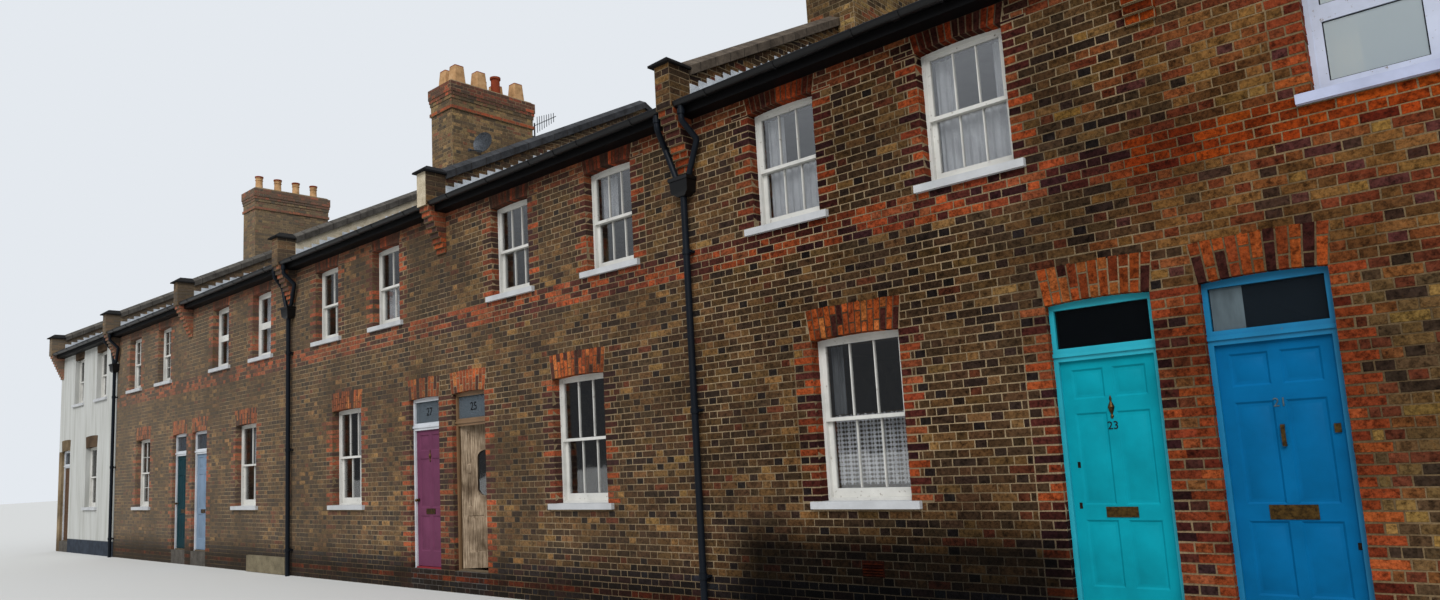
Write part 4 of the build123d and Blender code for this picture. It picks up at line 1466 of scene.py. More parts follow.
def make_windows():
    """Box frames with their sashes, the upper one in front of the lower, and their glass."""
    frames, glass = Forms(), Forms()
    for box in WINDOWS:
        (x0, _, sill), (x1, _, crown) = box
        spring = crown - CAMBER
        y0, y1 = depth_y(box, reveal_of(box)), depth_y(box, reveal_of(box) + FRAME_DEPTH)
        frames.box(x0, x0 + BOX_FACE, y0, y1, sill, spring - BOX_HEAD)
        frames.box(x1 - BOX_FACE, x1, y0, y1, sill, spring - BOX_HEAD)
        frames.box(x0 + BOX_FACE, x1 - BOX_FACE, y0, y1, sill, sill + SUB_SILL)
        frames.prism_y(cambered_head(x0, x1, spring - BOX_HEAD, spring), y0, y1)
        for outer, depth, glazed in lights_of(box):
            framing(frames, outer, glazed, depth_y(box, depth), depth_y(box, depth + SASH_DEPTH))
        for low, high in panes_of(box):
            glass.box(low[0], high[0], low[1], high[1], low[2], high[2])
    frames.build("sashes", "white_paint", ["window_frames"], slot="window_paint")
    glass.build("window_panes", "window_glass", ["window_glass"], slot="glass")


def leaf_middle(house):
    """The middle of a closed leaf, whose gap is wider at the lock."""
    return middle_x(DOORWAYS[house]) - away(house) * LEAF_SHIFT


def away(house):
    """Which way along X a door lies from its hinges."""
    return 1 if house % 2 == 0 else -1


def hinge_x(house):
    """Where a door's hinges stand along the row."""
    return middle_x(DOORWAYS[house]) - away(house) * HINGE_SET


def ajar(house):
    """The turn of a leaf that stands ajar, about its hinges."""
    if house != AJAR_HOUSE:
        return None
    pivot = Vector((hinge_x(house), LEAF_HIGH[1] + KNUCKLE_R, 0))
    turn = Matrix.Rotation(math.radians(away(house) * AJAR_ANGLE), 4, "Z")
    return Matrix.Translation(pivot) @ turn @ Matrix.Translation(-pivot)


def sunk_panel(forms, panel, y, inward):
    """One face of a panel: a sloped moulding round a raised field."""
    a, b, low, high = panel
    rings = []
    for edge, depth in PANEL_RINGS:
        at = y + inward * depth
        rings.append([(a + edge, at, low + edge), (b - edge, at, low + edge),
                      (b - edge, at, high - edge), (a + edge, at, high - edge)])
    base = len(forms.points)
    forms.rings(rings, closed=False)
    last = base + 4 * (len(rings) - 1)
    forms.faces.append((last, last + 1, last + 2, last + 3))


def leaf_panels(middle, glazed):
    """The rectangles of a leaf's panels: three pairs, or narrow ones beside a pane."""
    low = LEAF_LOW[2] + BOTTOM_FACE
    lock = low + LOW_PANEL + LOCK_FACE
    top = LEAF_HIGH[2] - TOP_FACE
    inner, outer = MUNTIN / 2, LEAF_W / 2 - STILE_FACE
    spans = ((middle - outer, middle - inner), (middle + inner, middle + outer))
    if not glazed:
        rows = ((low, low + LOW_PANEL), (lock, lock + MIDDLE_PANEL),
                (lock + MIDDLE_PANEL + FRIEZE_FACE, top))
        return [(a, b, c, d) for c, d in rows for a, b in spans]
    found = [(a, b, low, low + LOW_PANEL) for a, b in spans]
    split = (lock + top) / 2
    for a in (middle - outer, middle + outer - SLOT_PANEL):
        found.append((a, a + SLOT_PANEL, lock, split - FRIEZE_FACE / 2))
        found.append((a, a + SLOT_PANEL, split + FRIEZE_FACE / 2, top))
    return found


def rounded(middle, grow, y):
    """A pane's rounded outline at one depth, grown by a moulding's width."""
    halves = PANE_W / 2 + grow, PANE_H / 2 + grow
    return [(x, y, z) for x, z in rounded_outline(middle, PANE_MIDDLE, *halves, PANE_R + grow)]


def pane_hole(forms, middle):
    """The corners round a pane's hole, and the moulding that stands round it."""
    y0, y1 = LEAF_LOW[1] + STOP_GAP, LEAF_HIGH[1]
    edge = rounded(middle, 0, y0)
    steps = BEND_STEPS + 1
    for quarter, (side, rise) in enumerate(CORNERS):
        corner = (middle + side * PANE_W / 2, PANE_MIDDLE + rise * PANE_H / 2)
        arc = [(p[0], p[2]) for p in edge[quarter * steps:(quarter + 1) * steps]]
        forms.prism_y([corner] + arc, y0, y1)
    forms.rings([rounded(middle, 0, y0), rounded(middle, 0, y0 - PANE_PROUD),
                 rounded(middle, PANE_MOULD / 2, y0 - PANE_PROUD), rounded(middle, PANE_MOULD, y0)],
                closed=False)


def make_leaf(house, material):
    """A leaf of stiles and rails with moulded panels in both faces."""
    forms = Forms()
    middle = leaf_middle(house)
    y0, y1 = LEAF_LOW[1] + STOP_GAP, LEAF_HIGH[1]
    glazed = house == AJAR_HOUSE
    panels = leaf_panels(middle, glazed)
    whole = (middle - LEAF_W / 2, middle + LEAF_W / 2, LEAF_LOW[2], LEAF_HIGH[2])
    holes = list(panels)
    if glazed:
        holes.append((middle - PANE_W / 2, middle + PANE_W / 2, PANE_MIDDLE - PANE_H / 2,
                      PANE_MIDDLE + PANE_H / 2))
        pane_hole(forms, middle)
    for a, b, low, high in cut(whole, holes):
        if b > a and high > low:
            forms.box(a, b, y0, y1, low, high)
    for panel in panels:
        sunk_panel(forms, panel, y0, 1)
        sunk_panel(forms, panel, y1, -1)
    body = f"door_{house + 1}"
    forms.build(f"leaf_{house + 1}", material, [body], body, f"door_paint_{house + 1}",
                ajar(house))
    if glazed:
        pane = Forms()
        at = (y0 + y1) / 2
        pane.rings([rounded(middle, 0, at - GLASS_THICK / 2), rounded(middle, 0, at + GLASS_THICK / 2)])
        pane.build("door_pane", "window_glass", [], body, "glass", ajar(house))


def letter_plate(forms, house):
    """A letter plate with its hinged flap standing in a rim."""
    width, height = LARGE_PLATE if house == NEW_HOUSE else PLATE
    x, y, z = leaf_middle(house), LEAF_LOW[1], PLATE_HEIGHT
    half, rise = width / 2, height / 2
    forms.box(x - half, x + half, y - PLATE_THICK * 2 / 3, y, z - rise, z + rise)
    outer = (x - half, x + half, z - rise, z + rise)
    framing(forms, outer, inset(outer, FLAP_EDGE, FLAP_EDGE, FLAP_EDGE), y - PLATE_THICK, y)
    flap = 2 * FLAP_EDGE
    forms.box(x - half + flap, x + half - flap, y - PLATE_THICK, y, z - rise + flap, z + rise - flap)


def knob(forms, house):
    """A round knob on a short neck and a rose, near the lock edge."""
    x = leaf_middle(house) + away(house) * (LEAF_W / 2 - KNOB_SET)
    outline = [(KNOB_R, 0), (KNOB_R, ROSE_THICK), (KNOB_BALL, ROSE_THICK + ROSE_BEVEL),
               (KNOB_R / 3, ROSE_THICK + 2 * ROSE_BEVEL)]
    outline += [(max(ROSE_BEVEL, KNOB_BALL * math.sin(a)), KNOB_REACH - KNOB_BALL * math.cos(a))
                for a in KNOB_ANGLES]
    forms.lathe((x, LEAF_LOW[1], KNOB_HEIGHT), outline, Vector((0, -1, 0)))


def knocker(forms, house):
    """A turned knocker that lies against the leaf."""
    outline = [(KNOCKER_R * r, KNOCKER_HALF * h) for r, h in KNOCKER_SHAPE]
    forms.lathe((leaf_middle(house), LEAF_LOW[1], KNOCKER_HEIGHT), outline)


def pull_handle(forms, house):
    """A small upright pull on two feet."""
    x, y = leaf_middle(house), LEAF_LOW[1]
    low, high, half = PULL_HEIGHT - PULL_HALF, PULL_HEIGHT + PULL_HALF, PULL_W / 2
    forms.box(x - half, x + half, y - PULL_W, y - half, low, high)
    forms.box(x - half, x + half, y - half, y, low, low + PULL_W)
    forms.box(x - half, x + half, y - half, y, high - PULL_W, high)


def lock_case(forms, house):
    """The cover of a night latch near the lock edge."""
    width, height, thick = LOCK_SIZE
    x = leaf_middle(house) + away(house) * (LEAF_W / 2 - KNOB_SET)
    forms.box(x - width / 2, x + width / 2, LEAF_LOW[1] - thick, LEAF_LOW[1],
              LOCK_HEIGHT - height / 2, LOCK_HEIGHT + height / 2)


def hinges(forms, house):
    """Three knuckles at the leaf's back edge, each with its flap on the leaf."""
    edge = leaf_middle(house) - away(house) * LEAF_W / 2
    x, back = hinge_x(house), LEAF_HIGH[1]
    for z in HINGE_HEIGHTS:
        low, high = z - KNUCKLE_LENGTH / 2, z + KNUCKLE_LENGTH / 2
        forms.tube([(x, back + KNUCKLE_R, low), (x, back + KNUCKLE_R, high)], KNUCKLE_R)
        forms.box(x, edge + away(house) * FLAP_W, back, back + KNUCKLE_R / 2, low, high)


def make_doors():
    """Leaves, fittings and the nosing on each transom."""
    leaves = ("door_brown", "door_teal", "door_pale", "door_plum", "bare_timber", "door_turquoise",
              "door_blue")
    fittings = ((knob,), (knob, letter_plate), (knob, letter_plate), (knob, letter_plate, knocker),
                (knob,), (letter_plate, knocker), (letter_plate, pull_handle, lock_case))
    nosings = Forms()
    for house, material in enumerate(leaves):
        make_leaf(house, material)
        metal = Forms()
        for fitting in fittings[house] + (hinges,):
            fitting(metal, house)
        metal.build(f"fittings_{house + 1}", "brass", [f"door_metal_{house + 1}"],
                    f"door_{house + 1}", "door_furniture", ajar(house))
        low, high = DOORWAYS[house]
        face = FRONT_Y + DOOR_REVEAL
        nosings.box(low[0], high[0], face - NOSING_PROUD, face, NOSING_HEIGHT - NOSING / 2,
                    NOSING_HEIGHT + NOSING / 2)
    nosings.build("transom_nosings", "door_frame_paint", slot="frame_paint")


def sky_painted_panes():
    """Sheets on the newest window's panes, brighter than old glass: a painted reflection of the sky in
    their pale colour, over real gloss.
    """
    sky_sheets, seals = Pile(), Pile()
    for low, high in PANES:
        if low[1] < 0 and low[2] > STORIES and house_at(low[0]) == NEW_HOUSE:
            sky_sheets.rect(street_face(low[1] - SKY_SHEET_GAP), low[0], high[0], low[2], high[2], SKY_SHEET_THICK,
                       edge=SKY_SHEET_THICK)
            gasket(seals, low, high)
    # The sheets' pale colour is a painted reflection of the sky.
    sky_sheets.build("sky_painted_panes", "sky_painted_glass")
    seals.build("window_gaskets", "black_lettering")


def gasket(pile, low, high):
    """A thin black seal round a pane."""
    u0, u1, v0, v1 = low[0], high[0], low[2], high[2]
    a, b, under, over = inset((u0, u1, v0, v1), GASKET, GASKET, GASKET)
    for sides in ((u0, u1, v0, under), (u0, u1, over, v1), (u0, a, under, over), (b, u1, under, over)):
        pile.rect(street_face(low[1]), *sides, GASKET / 2, edge=FINE_EDGE)


def window_bars():
    """Glazing bars: their number goes by house and storey, and the rear has one upright."""
    bars = Pile()
    for pane in PANES:
        low, high = pane
        front = on_front(pane)
        surface = FRONT if front else REAR
        house = house_at(middle_x(pane))
        upper = low[2] > STORIES
        uprights, rails = FRONT_BARS[house][int(upper)] if front else REAR_BARS
        wide = high[0] - low[0] > 2 * (high[2] - low[2])
        if front and (wide or house == PLASTIC_HOUSE and upper):
            continue
        if front and house == NEW_HOUSE and upper and middle_x(pane) < NEW_WIDE_TO:
            continue
        u0, u1, v0, v1 = surface.span(low, high)
        depth = min(abs(low[1] - FRONT_Y), abs(high[1] + FRONT_Y))
        glass = high[1] - low[1]
        face = Surface(surface.origin - surface.out * depth, surface.across)
        for upright, count, start, end in ((True, uprights, u0, u1), (False, rails, v0, v1)):
            for n in range(count):
                middle = start + (end - start) * (n + 1) / (count + 1)
                bar = (middle - BAR / 2, middle + BAR / 2)
                sides = (*bar, v0, v1) if upright else (u0, u1, *bar)
                bars.rect(face, *sides, BAR_PROUD, back=-glass - BAR_PROUD, edge=BAR_EDGE)
    bars.build("glazing_bars", "white_paint", slot="window_paint")


def curtain(name, box, share, drop, folds, material):
    """A gathered cloth behind a window: share of its width, and drop from its head."""
    (x0, _, z0), (x1, _, z1) = box
    left = x0 + (x1 - x0) * share[0]
    width = (x1 - x0) * (share[1] - share[0])
    rail_y = FRONT_Y + RAIL_SET
    top = z0 + (z1 - z0) * drop[1]
    low = z0 + (z1 - z0) * drop[0]
    across = FOLD_STEPS * folds
    points = []
    for j in range(DROP_STEPS + 1):
        v = j / DROP_STEPS
        for i in range(across + 1):
            t = i / across
            wave = math.sin(2 * math.pi * folds * t + FOLD_STRAY * math.sin(FOLD_WANDER * t))
            y = rail_y + FOLD * (FOLD_AT_TOP + (1 - FOLD_AT_TOP) * v) * wave
            points.append((left + width * t, y, top - (top - low) * v))
    row = across + 1
    starts = [j * row + i for j in range(DROP_STEPS) for i in range(across)]
    faces = [(a, a + 1, a + row + 1, a + row) for a in starts]
    mesh = bpy.data.meshes.new(name)
    mesh.from_pydata(points, [], faces)
    mesh.polygons.foreach_set("use_smooth", [True] * len(faces))
    piece = place(name, mesh, material)


def make_curtains():
    """Nets and curtains behind some front windows, each hung from a thin rod."""
    rods = Forms()
    for number, (house, upper, side, share, drop, folds, material) in enumerate(CURTAINS, 1):
        row = [b for b in WINDOWS if on_front(b) and house_at(middle_x(b)) == house]
        box = [b for b in row if (b[0][2] > STORIES) == upper][side]
        curtain(f"curtain_{house + 1}_{number}", box, share, drop, folds, material)
        (x0, _, sill), (x1, _, head) = box
        left, right, z = x0 - ROD_END, x1 + ROD_END, sill + (head - sill) * drop[1]
        rail, wall = FRONT_Y + RAIL_SET, FRONT_Y + INNER_FACE
        thin_rod(rods, (left, rail, z), (right, rail, z))
        for x in (left, right):
            thin_rod(rods, (x, rail, z), (x, wall, z))
    place("curtain_rods", rods.mesh("curtain_rods"), "brass")


def thin_rod(rods, start, end):
    """A level round rod between two places."""
    start, end = Vector(start), Vector(end)
    along = (end - start).normalized()
    side = along.cross(UP).normalized()
    rods.rings([circle(at, side, along.cross(side), ROD_R, ROD_SIDES) for at in (start, end)])


def number(name, text, centre, height, material, body):
    """A house number facing the street."""
    curve = bpy.data.curves.new(name, "FONT")
    curve.body = text
    curve.size = height / FONT_CAP
    curve.align_x = "CENTER"
    curve.align_y = "CENTER"
    curve.extrude = NUMBER_THICK
    curve.resolution_u = NUMBER_STEPS
    source = bpy.data.objects.new(name + "_outline", curve)
    bpy.context.scene.collection.objects.link(source)
    bpy.context.view_layer.update()
    mesh = bpy.data.meshes.new_from_object(source.evaluated_get(bpy.context.evaluated_depsgraph_get()))
    bpy.data.objects.remove(source)
    mesh.transform(Matrix.Rotation(math.radians(90), 4, "X"))
    mesh.transform(Matrix.Translation(Vector(centre)))
    mesh.materials.clear()
    place(name, mesh, material, body)


def make_numbers():
    """Numbers on two doors and on two fanlights."""
    for text, house, material in (("23", 5, "black_lettering"), ("21", 6, "pewter")):
        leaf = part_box(f"door_{house + 1}")
        spot = (middle_x(leaf), leaf[0][1] - NUMBER_OFF, NUMBER_HEIGHTS[house])
        number(f"number_{text}", text, spot, DOOR_NUMBER, material, f"door_{house + 1}")
    fans = solids_of("fanlights")
    for text, house in (("27", 3), ("25", 4)):
        low, high = fans[house]
        spot = (middle_x(fans[house]), low[1] - NUMBER_OFF, (low[2] + high[2]) / 2)
        number(f"number_{text}", text, spot, FANLIGHT_NUMBER, "black_lettering", "row")


def keyholes():
    """Small plates over the keyholes of the two near doors."""
    for house, spots in KEYHOLES.items():
        pile = Pile()
        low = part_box(f"door_{house + 1}")[0]
        for x, z in spots:
            pile.rect(street_face(low[1]), x - KEYHOLE_HALF, x + KEYHOLE_HALF, z - 2 * KEYHOLE_HALF,
                      z + 2 * KEYHOLE_HALF, NUMBER_OFF, edge=KEYHOLE_EDGE)
        pile.build(f"keyholes_{house + 1}", "bronze", f"door_{house + 1}", "door_furniture")


# Rainwater goods


def make_gutters():
    """Half-round gutters with stopped ends, on fascias over a soffit board."""
    gutters, boards = Forms(), Forms()
    for left, right in SPANS:
        for side in (1, -1):
            face, back = FRONT_Y - OVERHANG, FRONT_Y - OVERHANG + BOARD
            outline = [(face, SOFFIT), (FRONT_Y, SOFFIT), (FRONT_Y, SOFFIT + BOARD),
                       (back, SOFFIT + BOARD), (back, roof_line(back) - SLATE_EDGE),
                       (face, roof_line(face) - SLATE_EDGE)]
            boards.prism_x(outline, left, right, side)
            turns = [math.pi * (1 + n / GUTTER_STEPS) for n in range(GUTTER_STEPS + 1)]
            arc = [(GUTTER_Y + radius * math.cos(a), GUTTER_RIM + radius * math.sin(a))
                   for radius, angles in ((GUTTER_R, turns), (GUTTER_R - GUTTER_WALL, turns[::-1]))
                   for a in angles]
            gutters.prism_x(arc, left, right, side)
            for x in (left, right - GUTTER_WALL):
                gutters.prism_x(arc[:GUTTER_STEPS + 1], x, x + GUTTER_WALL, side)
    gutters.build("iron_gutters", "black_iron", ["gutters"], slot="black_iron")
    boards.build("eaves_boards", "black_board", ["fascias"], slot="black_paint")


def softened(path, bend):
    """A path whose corners are rounded."""
    points = [Vector(p) for p in path]
    found = [points[0]]
    for before, corner, after in zip(points, points[1:], points[2:]):
        start = corner + (before - corner).normalized() * bend
        end = corner + (after - corner).normalized() * bend
        for n in range(BEND_STEPS + 1):
            t = n / BEND_STEPS
            found.append(start * (1 - t) ** 2 + corner * 2 * t * (1 - t) + end * t * t)
    return found + [points[-1]]


def make_pipes():
    """Hopper heads, collared downpipes and the bent necks that come down from the gutters."""
    heads, pipes = Forms(), Forms()
    for low, high in HOPPERS:
        side = 1 if low[1] < 0 else -1
        last = high[0] > ROW_RIGHT - WALL_SLACK
        x = ROW_RIGHT - HOPPER_HALF if last else middle_x((low, high))
        line = ROW_RIGHT - LAST_LINE_IN if last else x
        hopper_head(heads, x, side)
        y = side * (FRONT_Y - PIPE_OFF)
        pipes.tube([(x, y, 0), (x, y, HOPPER_BOTTOM)], PIPE_R)
        for z in COLLAR_HEIGHTS:
            pipes.tube([(x, y, z - COLLAR_HEIGHT / 2), (x, y, z + COLLAR_HEIGHT / 2)], PIPE_R + COLLAR)
            pipes.box(x - EAR_W / 2, x + EAR_W / 2, y, side * FRONT_Y, z - EAR_HEIGHT / 2,
                      z + EAR_HEIGHT / 2)
        for hand in (-1,) if last else (-1, 1):
            swan_neck(pipes, line, hand, side)
    heads.build("hopper_heads", "black_iron", ["hoppers"], slot="black_iron")
    pipes.build("iron_pipes", "blue_black_pipe", ["downpipes"], slot="black_iron")


def hopper_head(heads, x, side):
    """A tapered head with a rim round its open top."""
    def ring(half, depth, z, centre):
        ends = [side * (FRONT_Y - centre + way * depth / 2) for way in (-1, 1)]
        return [(x + way * half, ends[end], z) for way, end in ((-1, 0), (1, 0), (1, 1), (-1, 1))]

    half, depth, taper = HOPPER_HALF, HOPPER_DEPTH, HOPPER_TAPER
    inner, recess = half - HOPPER_WALL, depth - 2 * HOPPER_WALL
    rim = HOPPER_TOP - HOPPER_RIM
    heads.rings([ring(half, depth, rim, depth / 2),
                 ring(half, depth, HOPPER_TOP, depth / 2),
                 ring(inner, recess, HOPPER_TOP, depth / 2),
                 ring(inner, recess, HOPPER_TOP - HOPPER_RECESS, depth / 2)])
    heads.rings([ring(half - taper / 2, depth - taper / 2, rim, (depth - taper / 2) / 2),
                 ring(half - taper, depth - taper, HOPPER_TOP - HOPPER_WAIST, (depth - taper) / 2),
                 ring(*HOPPER_OUTLET, HOPPER_BOTTOM, PIPE_OFF)])


def swan_neck(pipes, line, hand, side):
    """The bent pipe from a gutter back to the wall and into the hopper."""
    top = GUTTER_RIM - GUTTER_R
    far, near = side * GUTTER_Y, side * (FRONT_Y - PIPE_OFF)
    foot = HOPPER_TOP - HOPPER_RECESS
    x, elbow, end = (line + hand * reach for reach in (NECK_TOP_X, NECK_ELBOW_X, NECK_FOOT_X))
    path = [(x, far, top), (x, far, top - NECK_DROP), (elbow, near, top - NECK_DROP - NECK_SLOPE),
            (end, near, foot + NECK_END), (end, near, foot)]
    pipes.tube(softened(path, NECK_BEND), NECK_R)
    low = top - NECK_COLLAR_LOW
    pipes.tube([(x, far, low), (x, far, low + COLLAR_HEIGHT)], NECK_R + COLLAR)


def gutter_straps():
    """Iron brackets under the gutters, and a socket joint in the middle of each length."""
    points, faces = [], []
    for left, right, side in [(*span, side) for side in (1, -1) for span in SPANS]:
        length = right - left
        count = round(length / STRAP_PITCH)
        straps = [(left + length * (n + 0.5) / count, STRAP_W) for n in range(count)]
        straps.append(((left + right) / 2 + STRAP_PITCH / 2, SOCKET_W))
        for x, width in straps:
            base = len(points)
            for n in range(STRAP_STEPS + 1):
                angle = math.pi * (1 + n / STRAP_STEPS)
                for out in (GUTTER_R, GUTTER_R + STRAP_THICK):
                    y = side * GUTTER_Y + out * math.cos(angle)
                    z = GUTTER_RIM + out * math.sin(angle)
                    points += [(x - width / 2, y, z), (x + width / 2, y, z)]
            for n in range(STRAP_STEPS):
                a = base + 4 * n
                for quad in STRAP_QUADS:
                    faces.append(tuple(a + corner for corner in quad))
    mesh = bpy.data.meshes.new("gutter_straps")
    mesh.from_pydata(points, [], faces)
    place("gutter_straps", mesh, "black_iron")


# Roof


def slates(pile, surface, u0, u1, length, rng):
    """Rows of slates, each lapped over the one below and half a slate across from it."""
    rows = int(length / SLATE_GAUGE)
    for row in range(rows + 1):
        low = row * SLATE_GAUGE
        high = min(length, low + SLATE_GAUGE)
        if high - low < SMALLEST_CUT:
            continue
        u = u0 - (row % 2) * SLATE_W / 2
        while u < u1:
            a, b = max(u, u0) + SLATE_GAP, min(u + SLATE_W, u1) - SLATE_GAP
            u += SLATE_W
            if b - a < SMALLEST_CUT:
                continue
            shade = rng.uniform(1 - SLATE_SPREAD, 1 + SLATE_SPREAD)
            tint = tuple(c * shade for c in linear(rng.choice(SLATES)))
            pile.rect(surface, a, b, low, high, SLATE_GAP + rng.uniform(0, SLATE_GAP), tint=tint,
                      edge=FINE_EDGE, tail=SLATE_THICK)


def make_roof():
    """Slates on both slopes of every house, over their decks."""
    rng = random.Random(SEEDS["roof"])
    front, rear = Pile(), Pile()
    slope = Vector((0, math.cos(ROOF_SLOPE), math.sin(ROOF_SLOPE)))
    eave = FRONT_Y - EAVES_LAP
    length = -eave / slope.y
    foot = roof_line(eave)
    for left, right in SPANS:
        face = Surface((0, eave, foot), (1, 0, 0), slope)
        slates(front, face, left, right, length, rng)
        back = Surface((0, -eave, foot), (-1, 0, 0), Vector((0, -slope.y, slope.z)))
        slates(rear, back, -right, -left, length, rng)
    roof_decks(eave)
    front.build("front_slates", "slate", slot="slate")
    rear.build("rear_slates", "slate", slot="slate")


def roof_decks(eave):
    """The slopes under the slates, and the clay tiles along the ridge."""
    decks = {1: Forms(), -1: Forms()}
    ridge = Forms()
    for left, right in SPANS:
        outline = [(eave, roof_line(eave)), (0, ROOF_RIDGE), (0, ROOF_RIDGE - ROOF_DROP),
                   (FRONT_Y, EAVE_AT_FACE - ROOF_DROP), (FRONT_Y, EAVE_AT_FACE - SLATE_EDGE),
                   (eave, roof_line(eave) - SLATE_EDGE)]
        for side, deck in decks.items():
            deck.prism_x(outline, left, right, side)
        low = ROOF_RIDGE - RIDGE_WING * TAN
        ridge.prism_x([(-RIDGE_WING, low), (0, ROOF_RIDGE), (RIDGE_WING, low),
                       (RIDGE_WING, low + RIDGE_THICK), (0, ROOF_RIDGE + RIDGE_THICK),
                       (-RIDGE_WING, low + RIDGE_THICK)], left, right)
    decks[1].build("front_deck", "slate", ["roof_front"], slot="slate")
    decks[-1].build("rear_deck", "slate", ["roof_rear"], slot="slate")
    ridge.build("clay_ridges", "ridge_clay", ["ridge_tiles"], slot="ridge_clay")


def saddle(foot, edge, ridge_half, ridge):
    """A coping's outline: its foot, its edges and a ridge that can be spread flat."""
    half = COPING_HALF
    return [(-half, foot), (half, foot), (half, edge), (ridge_half, ridge), (-ridge_half, ridge),
            (-half, edge)]


def make_copings():
    """Saddle copings: hipped and level over the corbelled ends, then up the slope."""
    forms = Forms()
    level = saddle(0, CAP_EDGE, 0, COPING_RIDGE)
    flat = saddle(0, CAP_EDGE, COPING_HALF, CAP_EDGE)
    sloped = saddle(-COPING_SINK, COPING_EDGE, 0, COPING_RIDGE)
    for x in (middle_x(wall) for wall in solids_of("party_walls")):
        for side in (1, -1):
            face = side * FRONT_Y
            nose = face - side * COPING_NOSE
            stages = ((nose, flat), (nose + side * COPING_HIP, level), (face, level))
            forms.rings([[(x + a, y, CORBEL_TOP + b) for a, b in section] for y, section in stages])
            forms.rings([[(x + a, y, CORBEL_TOP + lift + b) for a, b in sloped]
                         for y, lift in ((face, 0), (0, -FRONT_Y * TAN))])
    forms.build("saddle_copings", "coping_stone", ["parapet_copings"], slot="coping")


def make_cores():
    """The mortar cores behind the stacks' bricks, with their sloped mortar tops."""
    forms = Forms()
    for stack in STACKS:
        x = middle_x(stack)
        half_x, half_y, top = shaft_of(stack)
        forms.box(x - half_x, x + half_x, -half_y, half_y, stack[0][2], top)
        foot = top - CAP_ROWS * COURSE
        for count, out in CAP_COURSES:
            forms.box(x - half_x - out, x + half_x + out, -half_y - out, half_y + out, foot,
                      foot + count * COURSE)
            foot += count * COURSE
        stages = ((FLAUNCHING_OUT, top), (FLAUNCHING_OUT - FLAUNCHING_IN, top + FLAUNCHING))
        forms.rings([[(x + a * (half_x + out), b * (half_y + out), z)
                      for a, b in ((-1, -1), (1, -1), (1, 1), (-1, 1))] for out, z in stages])
    forms.build("stack_cores", "mortar", ["chimney_stacks"], slot="stock_brick")


def make_pots():
    """Ringed buff pots on three stacks, and square and red ones on the fourth."""
    forms = Forms()
    ringed = [(POT_R + out, z) for out, z in RINGED_POT]
    red = [(RED_POT_R + out, z) for out, z in RED_POT]
    for stack in STACKS:
        x, seat = middle_x(stack), stack[1][2]
        if stack != STACKS[SQUARE_POT_STACK]:
            spacing = 2 * shaft_of(stack)[1] / POTS
            for n in range(POTS):
                forms.lathe((x, (n - (POTS - 1) / 2) * spacing, seat), ringed)
            continue
        for side, y in RED_POTS:
            forms.lathe((x + side * POT_ROW, y, seat), red)
        for side, y in SQUARE_POTS:
            square_pot(forms, x + side * POT_ROW, y, seat)
    forms.build("clay_pots", "pot_clay", ["chimney_pots"], slot="buff_clay")


def square_pot(forms, x, y, seat):
    """A squat tapered square pot with rounded corners, open at the top."""
    inner = SQUARE_POT_TOP - 3 * POT_WALL
    stages = ((SQUARE_POT_BASE, 0), (SQUARE_POT_TOP, SQUARE_POT_HEIGHT), (inner, SQUARE_POT_HEIGHT),
              (inner, POT_FLOOR))
    forms.rings([[(a, b, seat + z) for a, b in rounded_outline(x, y, width / 2, width / 2, width / 8)]
                 for width, z in stages])


def make_dish():
    """A shallow round dish on a wall bracket, with its arm in front."""
    forms = Forms()
    face = STACKS[SQUARE_POT_STACK][1][0] - CAP_OUT
    curve = (DISH_R ** 2 + DISH_DEEP ** 2) / (2 * DISH_DEEP)
    radii = [DISH_R * (n + DISH_PIN) / (DISH_RINGS + DISH_PIN) for n in range(DISH_RINGS + 1)]
    outer = [(r, curve - math.sqrt(curve ** 2 - r * r)) for r in radii]
    forms.lathe((0, 0, 0), outer + [(r, z + DISH_THICK) for r, z in reversed(outer)])
    forms.tube([(0, 0, -2.5 * TUBE_R), (0, 0, 0.5 * TUBE_R)], 2 * TUBE_R)
    start = len(forms.points)
    forms.tube([(0, 0, -TUBE_R), (0, 0, ARM_LENGTH - TUBE_R)], TUBE_R)
    forms.tube([(0, 0, ARM_LENGTH - ARM_HEAD_R), (0, 0, ARM_LENGTH + ARM_HEAD_R)], ARM_HEAD_R)
    forms.moved(start, Matrix.Translation((0, 2 * TUBE_R - DISH_R, DISH_DEEP))
                @ Matrix.Rotation(math.radians(ARM_TILT), 4, "X"))
    forms.moved(0, Matrix.Translation((face + DISH_REACH, DISH_Y, DISH_HEIGHT))
                @ Matrix.Rotation(math.radians(DISH_TURN), 4, "Z")
                @ Matrix.Rotation(math.radians(DISH_AIM), 4, "X"))
    forms.box(face, face + DISH_REACH, DISH_Y - TUBE_R, DISH_Y + TUBE_R, DISH_HEIGHT - TUBE_R,
              DISH_HEIGHT + TUBE_R)
    forms.box(face, face + DISH_THICK, DISH_Y - DISH_FOOT, DISH_Y + DISH_FOOT, DISH_HEIGHT - DISH_FOOT,
              DISH_HEIGHT + DISH_FOOT)
    forms.build("dish", "grey_steel")


